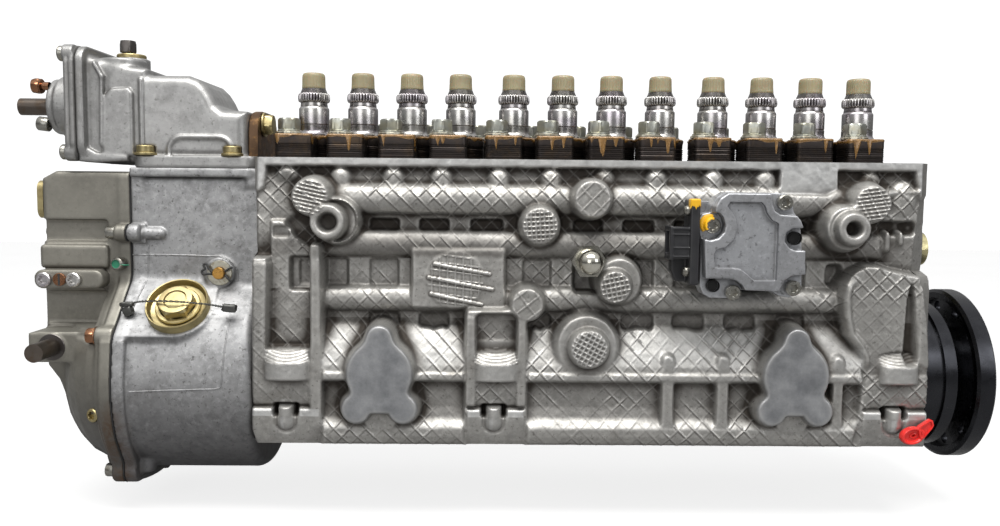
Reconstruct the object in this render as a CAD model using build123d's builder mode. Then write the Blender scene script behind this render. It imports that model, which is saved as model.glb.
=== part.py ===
from build123d import *
import os
from math import sin, cos, radians

os.makedirs("parts", exist_ok=True)

# Twelve-outlet in-line injection pump with a mechanical governor.
# Millimetres. +X runs along the camshaft, out of the drive end. +Z is up.
# The front of the pump looks to -Y. The origin is on the camshaft axis, at
# the outer face of the drive flange.

# ---------------------------------------------------------------- dimensions
PITCH = 35.0                 # spacing of the pumping elements
GROUP_PITCH = 38.0           # wider step between the three groups of four
X_FIRST = -467.6             # first element, nearest the governor
HOUSING_L, HOUSING_R = -497.9, -47.5
DECK_Z = 150.5
BASE_Z = -39.0
CHAMBER_R = 34.0
BORE_R = 14.05               # tappet and barrel flange bore
CAM_BASE_R, CAM_NOSE_R, CAM_NOSE_Z = 17.0, 6.0, 22.0
ROLLER_R, ROLLER_Z = 8.0, 36.4
PLUNGER_R = 5.0
SLEEVE_ARM = 19.0            # from the element axis to the ball of the arm
RACK_Z = 89.5
BALL_R = 2.5
SLOT_HALF = 3.2
BOLT_DX, BOLT_DY = 12.1, 25.7
FOOT_X = (-474.0, -336.0, -70.6)
FOOT_Y = 58.0
FOOT_R = 6.5
FLANGE_R = 60.7
FLANGE_PCD, FLANGE_HOLES, FLANGE_HOLE_R = 96.0, 12, 4.25
FLANGE_PHASE = 168.6
JOINT_X = -587.5             # governor housing to cover joint
GASKET_T = 0.8
DRUM_R = 72.0
LEVER_X, LEVER_Z = -600.0, 30.0
WEIGHT_X, WEIGHT_Z = -573.0, 30.4
LEVER_SHAFT_X, LEVER_SHAFT_Z = -632.6, 23.0
STOP_Z = 186.4

ELEMENT_X = [X_FIRST + PITCH * k + (GROUP_PITCH - PITCH) * (k // 4) for k in range(12)]
CAM_PHASE = [0, 150, 240, 30, 270, 120, 300, 90, 330, 60, 180, 210]
LEFT_BOLTS = [(x - BOLT_DX, -BOLT_DY) for x in ELEMENT_X]
RIGHT_BOLTS = [(x + BOLT_DX, BOLT_DY) for x in ELEMENT_X]
BOLTS = LEFT_BOLTS + RIGHT_BOLTS
COVER_SCREWS = [(-34.5, 77.7), (-34.5, 98.9), (44, 77.7), (44, 110), (-58.5, 31.5), (-60.5, -24), (-44.5, -63.5), (10, -71), (56, -47), (66, 8)]
# -------------------------------------------------------------- pump housing
with BuildPart() as pump_housing:
    with BuildSketch(Plane.YZ.offset(HOUSING_L)):
        with BuildLine():
            Polyline(
                (-54, DECK_Z), (-54, 130), (-58, 126), (-58, 50), (-65, 10), (-65, -8),
                (-62, -12), (-62, -26), (-66, -29), (-66, -36), (-63, BASE_Z),
                (63, BASE_Z), (66, -36), (66, -29), (62, -26), (62, -12), (65, -8),
                (65, 10), (58, 50), (58, 126), (54, 130), (54, DECK_Z), close=True,
            )
        make_face()
    extrude(amount=HOUSING_R - HOUSING_L)
    # foot bosses, two rows of three
    with Locations(*[(x, s * (FOOT_Y + 1), 9.6) for x in FOOT_X for s in (-1, 1)]):
        Box(27, 24, 11.8)
    # round cast pads and ports on the front
    with BuildSketch(Plane.XZ.offset(50)):
        for x, z, r in ((-457.4, 124.6, 12.5), (-308.4, 107.1, 12.5), (-274.4, 124.7, 12.5),
                        (-316.0, 55.2, 11.3), (-259.1, 67.8, 11.3), (-92.5, 123.5, 12.6)):
            with Locations((x, z)):
                Circle(r)
    extrude(amount=18)
    with BuildSketch(Plane.XZ.offset(50)):
        for x, z, r in ((-446.0, 108.6, 12.0), (-275.5, 27.0, 13.0)):
            with Locations((x, z)):
                Circle(r)
    extrude(amount=22)
    with BuildSketch(Plane.XZ.offset(50)):
        with Locations((-107.1, 107.3)):
            Circle(11)
    extrude(amount=27)
    with BuildSketch(Plane.XZ.offset(50)):
        with Locations((-276.5, 84.6)):
            Circle(11)
    extrude(amount=14)
    # smooth three-lobed wells, front and back
    for plane in (Plane.XZ.offset(50), Plane.XZ.offset(-73)):
        with BuildSketch(plane):
            for cx in (-412.5, -139.5):
                with Locations((cx, 9.8)):
                    Circle(22.5)
                with Locations((cx, 31.5)):
                    Circle(9.5)
                with Locations((cx - 15.5, -13.5), (cx + 15.5, -13.5)):
                    Circle(10)
        extrude(amount=23)
    # cam chamber, element bores, control rack tunnel
    with Locations(((HOUSING_L + HOUSING_R) / 2, 0, 0)):
        Cylinder(CHAMBER_R, HOUSING_R - HOUSING_L + 2, rotation=(0, 90, 0), mode=Mode.SUBTRACT)
    with Locations(*[(x, 0, 90.0) for x in ELEMENT_X]):
        Cylinder(BORE_R, 122, mode=Mode.SUBTRACT)
    with Locations(((HOUSING_L - 60.0) / 2 - 1, SLEEVE_ARM + 0.25, RACK_Z)):
        Box(-60.0 - HOUSING_L + 2, 10.5, 13.5, mode=Mode.SUBTRACT)
    with Locations(*[(x, 12.25, RACK_Z) for x in ELEMENT_X]):
        Box(28.1, 24.5, 13.5, mode=Mode.SUBTRACT)
    with Locations((-53, SLEEVE_ARM, RACK_Z)):
        Cylinder(8, 16, rotation=(0, 90, 0), mode=Mode.SUBTRACT)
    # flange bolt holes in the deck
    with Locations(*[(x, y, 139.5) for x, y in BOLTS]):
        Cylinder(4.0, 24, mode=Mode.SUBTRACT)
    # foot bolt holes
    with Locations(*[(x, s * FOOT_Y, -12) for x in FOOT_X for s in (-1, 1)]):
        Cylinder(FOOT_R, 58, mode=Mode.SUBTRACT)
    # spot-faced room over each foot
    with Locations(*[(x, s * (FOOT_Y + 8), 33) for x in FOOT_X for s in (-1, 1)]):
        Box(27, 16, 35, mode=Mode.SUBTRACT)
    # threaded ports, fitting hole, drain port, sensor passage
    with Locations((-446.0, -62, 108.6)):
        Cylinder(7.0, 24, rotation=(90, 0, 0), mode=Mode.SUBTRACT)
    with Locations((-107.1, -66, 107.3)):
        Cylinder(6.0, 24, rotation=(90, 0, 0), mode=Mode.SUBTRACT)
    with Locations((-276.5, -56, 84.6)):
        Cylinder(6.0, 18, rotation=(90, 0, 0), mode=Mode.SUBTRACT)
    with Locations((-58.0, -59, -29.0)):
        Cylinder(4.0, 20, rotation=(90, 0, 0), mode=Mode.SUBTRACT)
    # governor screws into the left end face
    with Locations(*[(HOUSING_L + 9, y, z) for y in (-46, 46) for z in (-16, 100)]):
        Cylinder(3.0, 20, rotation=(0, 90, 0), mode=Mode.SUBTRACT)
pump_housing.part.label = "pump_housing"
export_step(pump_housing.part, "parts/pump_housing.step")

# -------------------------------------------- fixed parts of the cam chamber
with BuildPart() as bearing_rings:
    for xc, width in ((-491.0, 13.6), (-343.6, 10.0), (-200.6, 10.0), (-54.5, 13.6)):
        with Locations((xc, 0, 0)):
            Cylinder(CHAMBER_R, width, rotation=(0, 90, 0))
            Cylinder(15.05, width + 2, rotation=(0, 90, 0), mode=Mode.SUBTRACT)
bearing_rings.part.label = "bearing_rings"
export_step(bearing_rings.part, "parts/bearing_rings.step")

# ------------------------------------------------------------------ camshaft
with BuildPart() as camshaft:
    with Locations((-299.5, 0, 0)):
        Cylinder(15.0, 505.0, rotation=(0, 90, 0))          # -552 to -47
    with Locations((-585.0, 0, 0)):
        Cylinder(7.95, 66.0, rotation=(0, 90, 0))           # -618 to -552
    with Locations((-33.5, 0, 0)):
        Cylinder(12.0, 27.0, rotation=(0, 90, 0))           # -47 to -20
    with Locations((-12.0, 0, 0)):
        Cylinder(7.0, 16.0, rotation=(0, 90, 0))            # threaded end
    for xc, phase in zip(ELEMENT_X, CAM_PHASE):
        a = radians(phase + 90)
        with BuildSketch(Plane.YZ.offset(xc - 7)):
            with Locations((0, 0)):
                Circle(CAM_BASE_R)
            with Locations((CAM_NOSE_Z * cos(a), CAM_NOSE_Z * sin(a))):
                Circle(CAM_NOSE_R)
            make_hull()
        extrude(amount=14)
camshaft.part.label = "camshaft"
export_step(camshaft.part, "parts/camshaft.step")

# -------------------------------------------------------------- drive flange
with BuildPart() as drive_flange:
    with BuildSketch(Plane.XZ):
        with BuildLine():
            Polyline(
                (-46.6, 12.0), (-46.6, 50.0), (-30.0, 50.0), (-30.0, 52.0), (-22.0, 52.0),
                (-22.0, 37.0), (-7.0, 37.0), (-7.0, 54.5), (-12.5, 54.5), (-12.5, 58.5), (-11.0, 60.7),
                (-1.2, 60.7), (0.0, 59.5), (0.0, 32.0), (-20.0, 32.0), (-20.0, 12.0), close=True,
            )
        make_face()
    revolve(axis=Axis.X)
    with BuildSketch(Plane.YZ.offset(-8)):
        with PolarLocations(FLANGE_PCD / 2, FLANGE_HOLES, start_angle=FLANGE_PHASE):
            Circle(FLANGE_HOLE_R)
    extrude(amount=9, mode=Mode.SUBTRACT)
drive_flange.part.label = "drive_flange"
export_step(drive_flange.part, "parts/drive_flange.step")

with BuildPart() as drive_nut:
    with BuildSketch(Plane.YZ.offset(-20)):
        RegularPolygon(14, 6)
        Circle(7.0, mode=Mode.SUBTRACT)
    extrude(amount=12)
drive_nut.part.label = "drive_nut"
export_step(drive_nut.part, "parts/drive_nut.step")

# ---------------------------------------------- pumping elements, fixed parts
with BuildPart() as tappet_one:
    with Locations((0, 0, 46)):
        Cylinder(14.0, 28)                                   # Z 32 to 60
    with Locations((0, 0, 38)):
        Box(12.4, 30, 19, mode=Mode.SUBTRACT)                # roller slot
    with Locations((0, 0, ROLLER_Z)):
        Cylinder(3.05, 40, rotation=(0, 90, 0), mode=Mode.SUBTRACT)
    with Locations((0, 0, 59)):
        Cylinder(6.5, 4, mode=Mode.SUBTRACT)

with BuildPart() as roller_tappets:
    with Locations(*[(x, 0, 0) for x in ELEMENT_X]):
        add(tappet_one.part)
roller_tappets.part.label = "roller_tappets"
export_step(roller_tappets.part, "parts/roller_tappets.step")

with BuildPart() as tappet_rollers:
    with Locations(*[(x, 0, ROLLER_Z) for x in ELEMENT_X]):
        Cylinder(ROLLER_R, 12.0, rotation=(0, 90, 0))
        Cylinder(3.0, 24.0, rotation=(0, 90, 0))
tappet_rollers.part.label = "tappet_rollers"
export_step(tappet_rollers.part, "parts/tappet_rollers.step")

with BuildPart() as spring_one:
    with BuildLine() as coil:
        Helix(pitch=4.6, height=18.4, radius=11.2, center=(0, 0, 62.0))
    with BuildSketch(Plane(origin=(11.2, 0, 62.0), z_dir=(0, 1, 0))):
        Circle(1.4)
    sweep(path=coil.wires()[0], is_frenet=True)

with BuildPart() as plunger_springs:
    with Locations(*[(x, 0, 0) for x in ELEMENT_X]):
        add(spring_one.part)
plunger_springs.part.label = "plunger_springs"
export_step(plunger_springs.part, "parts/plunger_springs.step")

with BuildPart() as flange_one:
    with BuildSketch(Plane.XY.offset(DECK_Z)):
        Circle(16.8)
        with Locations((-BOLT_DX, -BOLT_DY), (BOLT_DX, BOLT_DY)):
            Circle(10.3)
        make_hull()
    extrude(amount=16.5)
    with Locations((0, 0, 124.5)):
        Cylinder(14.0, 53)                                   # skirt, Z 98 to 151
    with Locations((0, 0, 133)):
        Cylinder(10.0, 80, mode=Mode.SUBTRACT)
    with Locations((-BOLT_DX, -BOLT_DY, 159), (BOLT_DX, BOLT_DY, 159)):
        Cylinder(4.5, 20, mode=Mode.SUBTRACT)

with BuildPart() as barrel_flanges:
    with Locations(*[(x, 0, 0) for x in ELEMENT_X]):
        add(flange_one.part)
barrel_flanges.part.label = "barrel_flanges"
export_step(barrel_flanges.part, "parts/barrel_flanges.step")

with BuildPart() as pump_barrels:
    with Locations(*[(x, 0, 123) for x in ELEMENT_X]):
        Cylinder(9.95, 54)                                   # Z 96 to 150
        Cylinder(PLUNGER_R + 0.05, 60, mode=Mode.SUBTRACT)
    with Locations(*[(x, 0, 138) for x in ELEMENT_X]):
        Cylinder(1.6, 30, rotation=(90, 0, 0), mode=Mode.SUBTRACT)   # fuel ports
pump_barrels.part.label = "pump_barrels"
export_step(pump_barrels.part, "parts/pump_barrels.step")

with BuildPart() as delivery_valves:
    with Locations(*[(x, 0, 155) for x in ELEMENT_X]):
        Cylinder(9.9, 10)                                    # valve body flange, Z 150 to 160
    with Locations(*[(x, 0, 167) for x in ELEMENT_X]):
        Cylinder(5.5, 14)
    with Locations(*[(x, 0, 152) for x in ELEMENT_X]):
        Cylinder(3.0, 6, mode=Mode.SUBTRACT)
delivery_valves.part.label = "delivery_valves"
export_step(delivery_valves.part, "parts/delivery_valves.step")

with BuildPart() as holder_one:
    with BuildSketch(Plane.XZ):
        with BuildLine():
            Polyline(
                (6.2, 160.0), (9.9, 160.0), (9.9, 167.0), (12.6, 167.6), (12.6, 171.2), (10.9, 172.0),
                (10.9, 175.4), (10.5, 176.0), (10.5, 190.0), (9.9, 190.9), (11.4, 191.4),
                (11.4, 199.0), (10.6, 199.8), (7.0, 199.8), (7.0, 209.6), (6.2, 210.4), (3.0, 210.4),
                (1.5, 207.0), (1.5, 184.0), (6.2, 181.0), close=True,
            )
        make_face()
    revolve(axis=Axis.Z)
    with PolarLocations(11.9, 24):
        with Locations((0, 0, 195.2)):
            Box(1.3, 1.4, 7.0, rotation=(0, 0, 45), mode=Mode.SUBTRACT)

with BuildPart() as delivery_valve_holders:
    with Locations(*[(x, 0, 0) for x in ELEMENT_X]):
        add(holder_one.part)
delivery_valve_holders.part.label = "delivery_valve_holders"
export_step(delivery_valve_holders.part, "parts/delivery_valve_holders.step")

with BuildPart() as protective_caps:
    with BuildSketch(Plane.XY.offset(199.9)):
        with Locations(*[(x, 0) for x in ELEMENT_X]):
            Circle(8.35)
    extrude(amount=12.1, taper=0.8)
    with Locations(*[(x, 0, 204.9) for x in ELEMENT_X]):
        Cylinder(7.1, 11.2, mode=Mode.SUBTRACT)
protective_caps.part.label = "protective_caps"
export_step(protective_caps.part, "parts/protective_caps.step")

with BuildPart() as flange_bolts:
    with Locations(*[(x, y, 148.5) for x, y in BOLTS]):
        Cylinder(3.95, 41)                                   # shank, Z 128 to 169
    with BuildSketch(Plane.XY.offset(169.0)):
        with Locations(*BOLTS):
            Circle(7.8)
    extrude(amount=1.8)
    with BuildSketch(Plane.XY.offset(170.8)):
        with Locations(*BOLTS):
            RegularPolygon(7.5, 6, rotation=12)
    extrude(amount=7.7)
flange_bolts.part.label = "flange_bolts"
export_step(flange_bolts.part, "parts/flange_bolts.step")

with BuildPart() as flange_washers:
    with BuildSketch(Plane.XY.offset(167.0)):
        with Locations(*BOLTS):
            Circle(8.6)
            Circle(4.4, mode=Mode.SUBTRACT)
    extrude(amount=2.0)
flange_washers.part.label = "flange_washers"
export_step(flange_washers.part, "parts/flange_washers.step")

# ------------------------------------- plungers, each with its control sleeve
with BuildPart() as plunger_one:
    with Locations((0, 0, 102.5)):
        Cylinder(PLUNGER_R, 85)                              # Z 60 to 145
    with Locations((0, 0, 61)):
        Cylinder(5.8, 2)
    with Locations((0, 0, 89.5)):
        Cylinder(9.5, 11)                                    # control sleeve, Z 84 to 95
    with Locations((0, 0, 83.1)):
        Cylinder(12.8, 1.8)                                  # upper spring plate
    with Locations((0, 13, RACK_Z)):
        Cylinder(1.75, 12, rotation=(90, 0, 0))
    with Locations((0, SLEEVE_ARM, RACK_Z)):
        Sphere(BALL_R)
    with Locations((3.6, 0, 140)):
        Box(3, 3, 12, rotation=(0, 0, 0), mode=Mode.SUBTRACT)   # metering notch

for index, xc in enumerate(ELEMENT_X, start=1):
    with BuildPart() as plunger_and_sleeve:
        with Locations((xc, 0, 0)):
            add(plunger_one.part)
    plunger_and_sleeve.part.label = f"plunger_and_sleeve_{index:02d}"
    export_step(plunger_and_sleeve.part, f"parts/plunger_and_sleeve_{index:02d}.step")

# -------------------------------------------------------------- control rack
with BuildPart() as control_rack:
    with Locations((-340.5, SLEEVE_ARM + 0.5, RACK_Z)):
        Box(531.0, 8.0, 12.0)                                # X -606 to -75
    with Locations(*[(x, SLEEVE_ARM - 0.75, RACK_Z) for x in ELEMENT_X]):
        Box(2 * SLOT_HALF, 7.5, 14.0, mode=Mode.SUBTRACT)
    with Locations((LEVER_X, SLEEVE_ARM + 0.5, RACK_Z)):
        Box(6.0, 10.0, 8.4, mode=Mode.SUBTRACT)              # window for the lever pin
control_rack.part.label = "control_rack"
export_step(control_rack.part, "parts/control_rack.step")

with BuildPart() as rack_end_plug:
    with Locations((-53, SLEEVE_ARM, RACK_Z)):
        Cylinder(7.95, 11, rotation=(0, 90, 0))
    with BuildSketch(Plane.YZ.offset(HOUSING_R)):
        with Locations((SLEEVE_ARM, RACK_Z)):
            Circle(13.0)
    extrude(amount=3.0)
    with BuildSketch(Plane.YZ.offset(HOUSING_R + 3.0)):
        with Locations((SLEEVE_ARM, RACK_Z)):
            RegularPolygon(14.4, 6, rotation=90)
    extrude(amount=24.5)
rack_end_plug.part.label = "rack_end_plug"
export_step(rack_end_plug.part, "parts/rack_end_plug.step")

# --------------------------------------------------- fittings on the front
with BuildPart() as ball_head_fitting:
    with Locations((-276.5, -56, 84.6)):
        Cylinder(5.95, 16, rotation=(90, 0, 0))
    with BuildSketch(Plane.XZ.offset(64)):
        with Locations((-276.5, 84.6)):
            RegularPolygon(11.5, 6)
    extrude(amount=6)
    with Locations((-276.5, -72, 84.6)):
        Cylinder(5.0, 8, rotation=(90, 0, 0))
    with Locations((-276.5, -80, 84.6)):
        Sphere(8.0)
ball_head_fitting.part.label = "ball_head_fitting"
export_step(ball_head_fitting.part, "parts/ball_head_fitting.step")

with BuildPart() as sensor_cover:
    with BuildSketch(Plane.XZ.offset(65.2)):
        with Locations((-174.4, 99.0)):
            RectangleRounded(63.8, 61.6, 8)
    extrude(amount=22.8)
    fillet(sensor_cover.faces().sort_by(Axis.Y)[0].edges(), 2.0)
    with Locations((-150.0, -82, 101.9), (-199.6, -82, 71.5)):
        Cylinder(2.6, 14, rotation=(90, 0, 0), mode=Mode.SUBTRACT)
    with Locations(*[(x, -76, z) for x, z in ((-157.3, 124.1), (-202.0, 108.6), (-188.2, 71.8), (-150.1, 73.2))]):
        Cylinder(2.1, 34, rotation=(90, 0, 0), mode=Mode.SUBTRACT)
sensor_cover.part.label = "sensor_cover"
export_step(sensor_cover.part, "parts/sensor_cover.step")

with BuildPart() as sensor_screws:
    for x, z in ((-157.3, 124.1), (-202.0, 108.6), (-188.2, 71.8), (-150.1, 73.2)):
        with Locations((x, -77, z)):
            Cylinder(2.0, 22, rotation=(90, 0, 0))
        with Locations((x, -90, z)):
            Cylinder(4.3, 4, rotation=(90, 0, 0))
        with Locations((x, -91.5, z)):
            Cylinder(1.9, 3, rotation=(90, 0, 0), mode=Mode.SUBTRACT)
    for z in (119.1, 78.2):
        with Locations((-214.0, -76.0, z)):
            Cylinder(3.6, 5, rotation=(0, 90, 0))
sensor_screws.part.label = "sensor_screws"
export_step(sensor_screws.part, "parts/sensor_screws.step")

with BuildPart() as sensor_plate:
    with Locations((-174.4, -62.6, 98.0)):
        Box(66.0, 5.2, 66.0)
sensor_plate.part.label = "sensor_plate"
export_step(sensor_plate.part, "parts/sensor_plate.step")

with BuildPart() as sensor_connector:
    with Locations((-208.95, -76.0, 98.0)):
        Box(5.1, 20, 54.6)
    with Locations((-219.75, -76.0, 97.9)):
        Box(16.5, 16, 19.8)
    with Locations((-223.5, -76.0, 97.9)):
        Box(10.0, 12.6, 16.4, mode=Mode.SUBTRACT)
    with Locations(*[(-224.0 + 3.5, -76.0, 97.9 + dz) for dz in (-5, 0, 5)]):
        Cylinder(1.0, 7.0, rotation=(0, 90, 0))
sensor_connector.part.label = "sensor_connector"
export_step(sensor_connector.part, "parts/sensor_connector.step")

with BuildPart() as red_plug:
    with Locations((-58.0, -59.5, -29.0)):
        Cylinder(3.95, 17, rotation=(90, 0, 0))
    with BuildSketch(Plane.XZ.offset(68)):
        with Locations((-58.0, -29.0)):
            Circle(7.5)
        with Locations((-45.0, -24.0)):
            Circle(2.2)
        make_hull()
    extrude(amount=4)
red_plug.part.label = "red_plug"
export_step(red_plug.part, "parts/red_plug.step")

# ---------------------------------------------------------- governor housing
PAD_N = (0, -0.716, 0.698)
PAD_O = (-549.8, -48.26, 49.01)
# outlines across the governor, as (Y, Z): the drum, its cavity and the joint
DRUM = [(-31, 62.5), (-42, 54), (-52, 43.5), (-59.5, 31), (-64, 18), (-66.3, 4), (-66.3, -8), (-64.8, -20), (-61.3, -32),
        (-55, -43.5), (-46, -53.5), (-36, -61), (-24, -66.8), (-10, -70), (2, -71), (14, -70), (27, -66.8), (39, -61),
        (49, -53.5), (58, -43.5), (64, -32), (67.5, -20), (69, -8), (69, 4), (66.5, 18), (62, 31), (54, 43.5), (43, 54), (38, 62.5)]
CAVITY = [(1.5 + 0.925 * (y - 1.5), -3 + 0.925 * (z + 3)) for y, z in DRUM]
JOINT = [(-30.5, 137), (-30.5, 70), (-33.4, 64.6), (-64.6, 32.2), (-67, 28.5), (-68.6, 16.5), (-70, 6), (-70.3, -3),
         (-69.8, -12.7), (-68, -23.8), (-64.3, -35.5), (-58.5, -46), (-54, -53.5), (-50, -62), (-44, -70.5), (-37, -72.5),
         (-20, -75.5), (0, -77), (20, -75.5), (37, -72.5), (46, -69), (53, -60), (59, -48), (65.5, -35), (69.5, -23),
         (71.5, -10), (72, 0), (71, 12), (68, 26), (61, 40), (51, 54), (43, 64), (42, 70), (42, 137)]
JOINT_EARS = [(-34.5, 77.7, 6.2), (-34.5, 98.9, 6.2), (44, 77.7, 7), (44, 110, 7), (-44.5, -63.5, 8), (10, -71, 8.5), (66, 8, 8)]
pad_plane = Plane(origin=PAD_O, x_dir=(1, 0, 0), z_dir=PAD_N)

with BuildPart() as governor_housing:
    with BuildSketch(Plane.YZ.offset(JOINT_X)):
        with BuildLine():
            Polyline(*DRUM, close=True)
        make_face()
        with Locations((5, 78.5)):
            Rectangle(70, 117)
    extrude(amount=HOUSING_L - JOINT_X)
    # joint flange with screw ears
    with BuildSketch(Plane.YZ.offset(JOINT_X)):
        with BuildLine():
            Polyline(*JOINT, close=True)
        make_face()
        for y, z, r in JOINT_EARS:
            with Locations((y, z)):
                Circle(r)
    extrude(amount=8)
    # inclined pad for the plug
    with BuildSketch(Plane.YZ.offset(JOINT_X)):
        with BuildLine():
            Polyline((-28, 69.7), (-64.6, 32.2), (-64.4, 29.5), (-60, 26), (-28, 26), close=True)
        make_face()
    extrude(amount=60.5)
    # fulcrum boss and lug
    with Locations((-527.2, -31, 71.8)):
        Cylinder(10.5, 6, rotation=(90, 0, 0))
    with Locations((-576.0, -31, 98.2)):
        Box(22, 6, 8.4)
    # top flange
    with Locations(((JOINT_X - 502.0) / 2, 4.5, 140.2)):
        Box(-502.0 - JOINT_X, 75, 6.4)
    # hollow
    with BuildSketch(Plane.YZ.offset(JOINT_X - 1)):
        with BuildLine():
            Polyline(*CAVITY, close=True)
        make_face()
        with Locations((3.5, 65.5)):
            Rectangle(61, 131)
    extrude(amount=82.5, mode=Mode.SUBTRACT)                 # to X -506
    with Locations((-502, 0, 0)):
        Cylinder(20, 12, rotation=(0, 90, 0), mode=Mode.SUBTRACT)
    with Locations((-502, SLEEVE_ARM + 0.5, RACK_Z)):
        Box(12, 11, 14, mode=Mode.SUBTRACT)
    # plug hole, fulcrum pin hole, cover and compensator screw holes
    with Locations(pad_plane):
        Cylinder(12.0, 60, mode=Mode.SUBTRACT)
    with Locations((-527.2, 2, 71.8)):
        Cylinder(4.25, 84, rotation=(90, 0, 0), mode=Mode.SUBTRACT)
    with Locations(*[(x, y, 140) for x in (-576.8, -517.8) for y in (-27, 35)]):
        Cylinder(3.0, 14, mode=Mode.SUBTRACT)
    with Locations(*[(JOINT_X + 4, y, z) for y, z in COVER_SCREWS]):
        Cylinder(2.6, 10, rotation=(0, 90, 0), mode=Mode.SUBTRACT)
governor_housing.part.label = "governor_housing"
export_step(governor_housing.part, "parts/governor_housing.step")

with BuildPart() as governor_gasket:
    with BuildSketch(Plane.YZ.offset(JOINT_X - GASKET_T)):
        with BuildLine():
            Polyline(*JOINT, close=True)
        make_face()
        for y, z, r in JOINT_EARS:
            with Locations((y, z)):
                Circle(r)
        with BuildLine(mode=Mode.PRIVATE) as cavity_line:
            Polyline(*CAVITY, close=True)
        make_face(cavity_line.edges(), mode=Mode.SUBTRACT)
        with Locations((3.5, 65.5)):
            Rectangle(61, 131.5, mode=Mode.SUBTRACT)
        with Locations(*COVER_SCREWS):
            Circle(2.6, mode=Mode.SUBTRACT)
    extrude(amount=GASKET_T)
governor_gasket.part.label = "governor_gasket"
export_step(governor_gasket.part, "parts/governor_gasket.step")

# ------------------------------------------------------------ governor cover
COVER_X = JOINT_X - GASKET_T
with BuildPart() as governor_cover:
    with BuildSketch(Plane.XZ):
        with BuildLine():
            Polyline((COVER_X, 0), (COVER_X, 68.5), (-596.5, 68.5), (-599.5, 64.5), (-623, 44), (-638, 20), (-646, 0), close=True)
        make_face()
    revolve(axis=Axis.X)
    with BuildSketch(Plane.YZ.offset(-596.5)):
        with BuildLine():
            Polyline(*JOINT, close=True)
        make_face()
        for y, z, r in JOINT_EARS:
            with Locations((y, z)):
                Circle(r)
    extrude(amount=8.2)
    with BuildSketch(Plane.XZ.offset(31)):
        with BuildLine():
            Polyline((COVER_X, 141.4), (-639, 141.4), (-649.2, 136), (-649.2, 5.6), (-637.5, -15.8), (-622.7, -40), (COVER_X, -40), close=True)
        make_face()
    extrude(amount=-69)                                      # Y -31 to +38
    with Locations((-620.0, -36.5, 67.2)):
        Box(59, 11, 13)                                      # stop screw block
    with Locations((-627.1, -42.5, 22.8)):
        Box(43, 23, 20.6)                                    # lever shaft boss
    # recessed band across the front
    with Locations((-616, -30, 99.8)):
        Box(52, 8, 16, mode=Mode.SUBTRACT)
    # hollow
    with BuildSketch(Plane.XZ):
        with BuildLine():
            Polyline((COVER_X + 1, 0), (COVER_X + 1, 63), (-597.5, 58.5), (-619.5, 39.5), (-633.5, 17), (-641, 0), close=True)
        make_face()
    revolve(axis=Axis.X, mode=Mode.SUBTRACT)
    with Locations(((COVER_X + 1 - 643.2) / 2, 2.5, 66.5)):
        Box(COVER_X + 1 + 643.2, 54.5, 137, mode=Mode.SUBTRACT)
    # shaft and screw holes
    with Locations((LEVER_SHAFT_X, -40, LEVER_SHAFT_Z)):
        Cylinder(5.45, 34, rotation=(90, 0, 0), mode=Mode.SUBTRACT)
    with Locations(*[((COVER_X - 596.5) / 2, y, z) for y, z in COVER_SCREWS]):
        Cylinder(2.6, 12, rotation=(0, 90, 0), mode=Mode.SUBTRACT)
    with Locations(*[(-602.5, y, z) for y, z in COVER_SCREWS]):
        Cylinder(5.2, 12, rotation=(0, 90, 0), mode=Mode.SUBTRACT)
    with Locations((-642.0, -37, 67.2), (-622.0, -37, 67.2), (-632.0, -37, 67.2)):
        Cylinder(2.6, 12, rotation=(90, 0, 0), mode=Mode.SUBTRACT)
governor_cover.part.label = "governor_cover"
export_step(governor_cover.part, "parts/governor_cover.step")

with BuildPart() as cover_screws:
    for y, z in COVER_SCREWS:
        with Locations((-592, y, z)):
            Cylinder(2.5, 15, rotation=(0, 90, 0))
        with Locations((-599.5, y, z)):
            Cylinder(4.6, 6, rotation=(0, 90, 0))
cover_screws.part.label = "cover_screws"
export_step(cover_screws.part, "parts/cover_screws.step")

with BuildPart() as stop_block_screws:
    for x in (-642.0, -622.0):
        with Locations((x, -38.5, 67.2)):
            Cylinder(2.55, 8, rotation=(90, 0, 0))
        with Locations((x, -44.0, 67.2)):
            Cylinder(5.6, 4, rotation=(90, 0, 0))
        with Locations((x, -45.4, 67.2)):
            Cylinder(2.7, 3, rotation=(90, 0, 0), mode=Mode.SUBTRACT)
    with Locations((-632.0, -38.0, 67.2)):
        Cylinder(2.55, 9, rotation=(90, 0, 0))
    with Locations((-632.0, -43.0, 67.2)):
        Cylinder(4.3, 2, rotation=(90, 0, 0))
    with Locations((-632.0, -44.0, 67.2)):
        Box(1.2, 1.6, 12, mode=Mode.SUBTRACT)
stop_block_screws.part.label = "stop_block_screws"
export_step(stop_block_screws.part, "parts/stop_block_screws.step")

with BuildPart() as inspection_plate:
    with BuildSketch(Plane.YZ.offset(-653.2)):
        with Locations((-1, 121)):
            RectangleRounded(52, 26, 6)
    extrude(amount=4.0)
inspection_plate.part.label = "inspection_plate"
export_step(inspection_plate.part, "parts/inspection_plate.step")

with BuildPart() as plug_cup:
    with Locations(pad_plane):
        Cylinder(20.6, 6.2, align=(Align.CENTER, Align.CENTER, Align.MIN))
    with Locations(pad_plane.offset(1.4)):
        Cylinder(19.3, 8.0, align=(Align.CENTER, Align.CENTER, Align.MIN), mode=Mode.SUBTRACT)
    with Locations(pad_plane.offset(-1)):
        Cylinder(12.2, 8.0, align=(Align.CENTER, Align.CENTER, Align.MIN), mode=Mode.SUBTRACT)
plug_cup.part.label = "plug_cup"
export_step(plug_cup.part, "parts/plug_cup.step")

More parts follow.
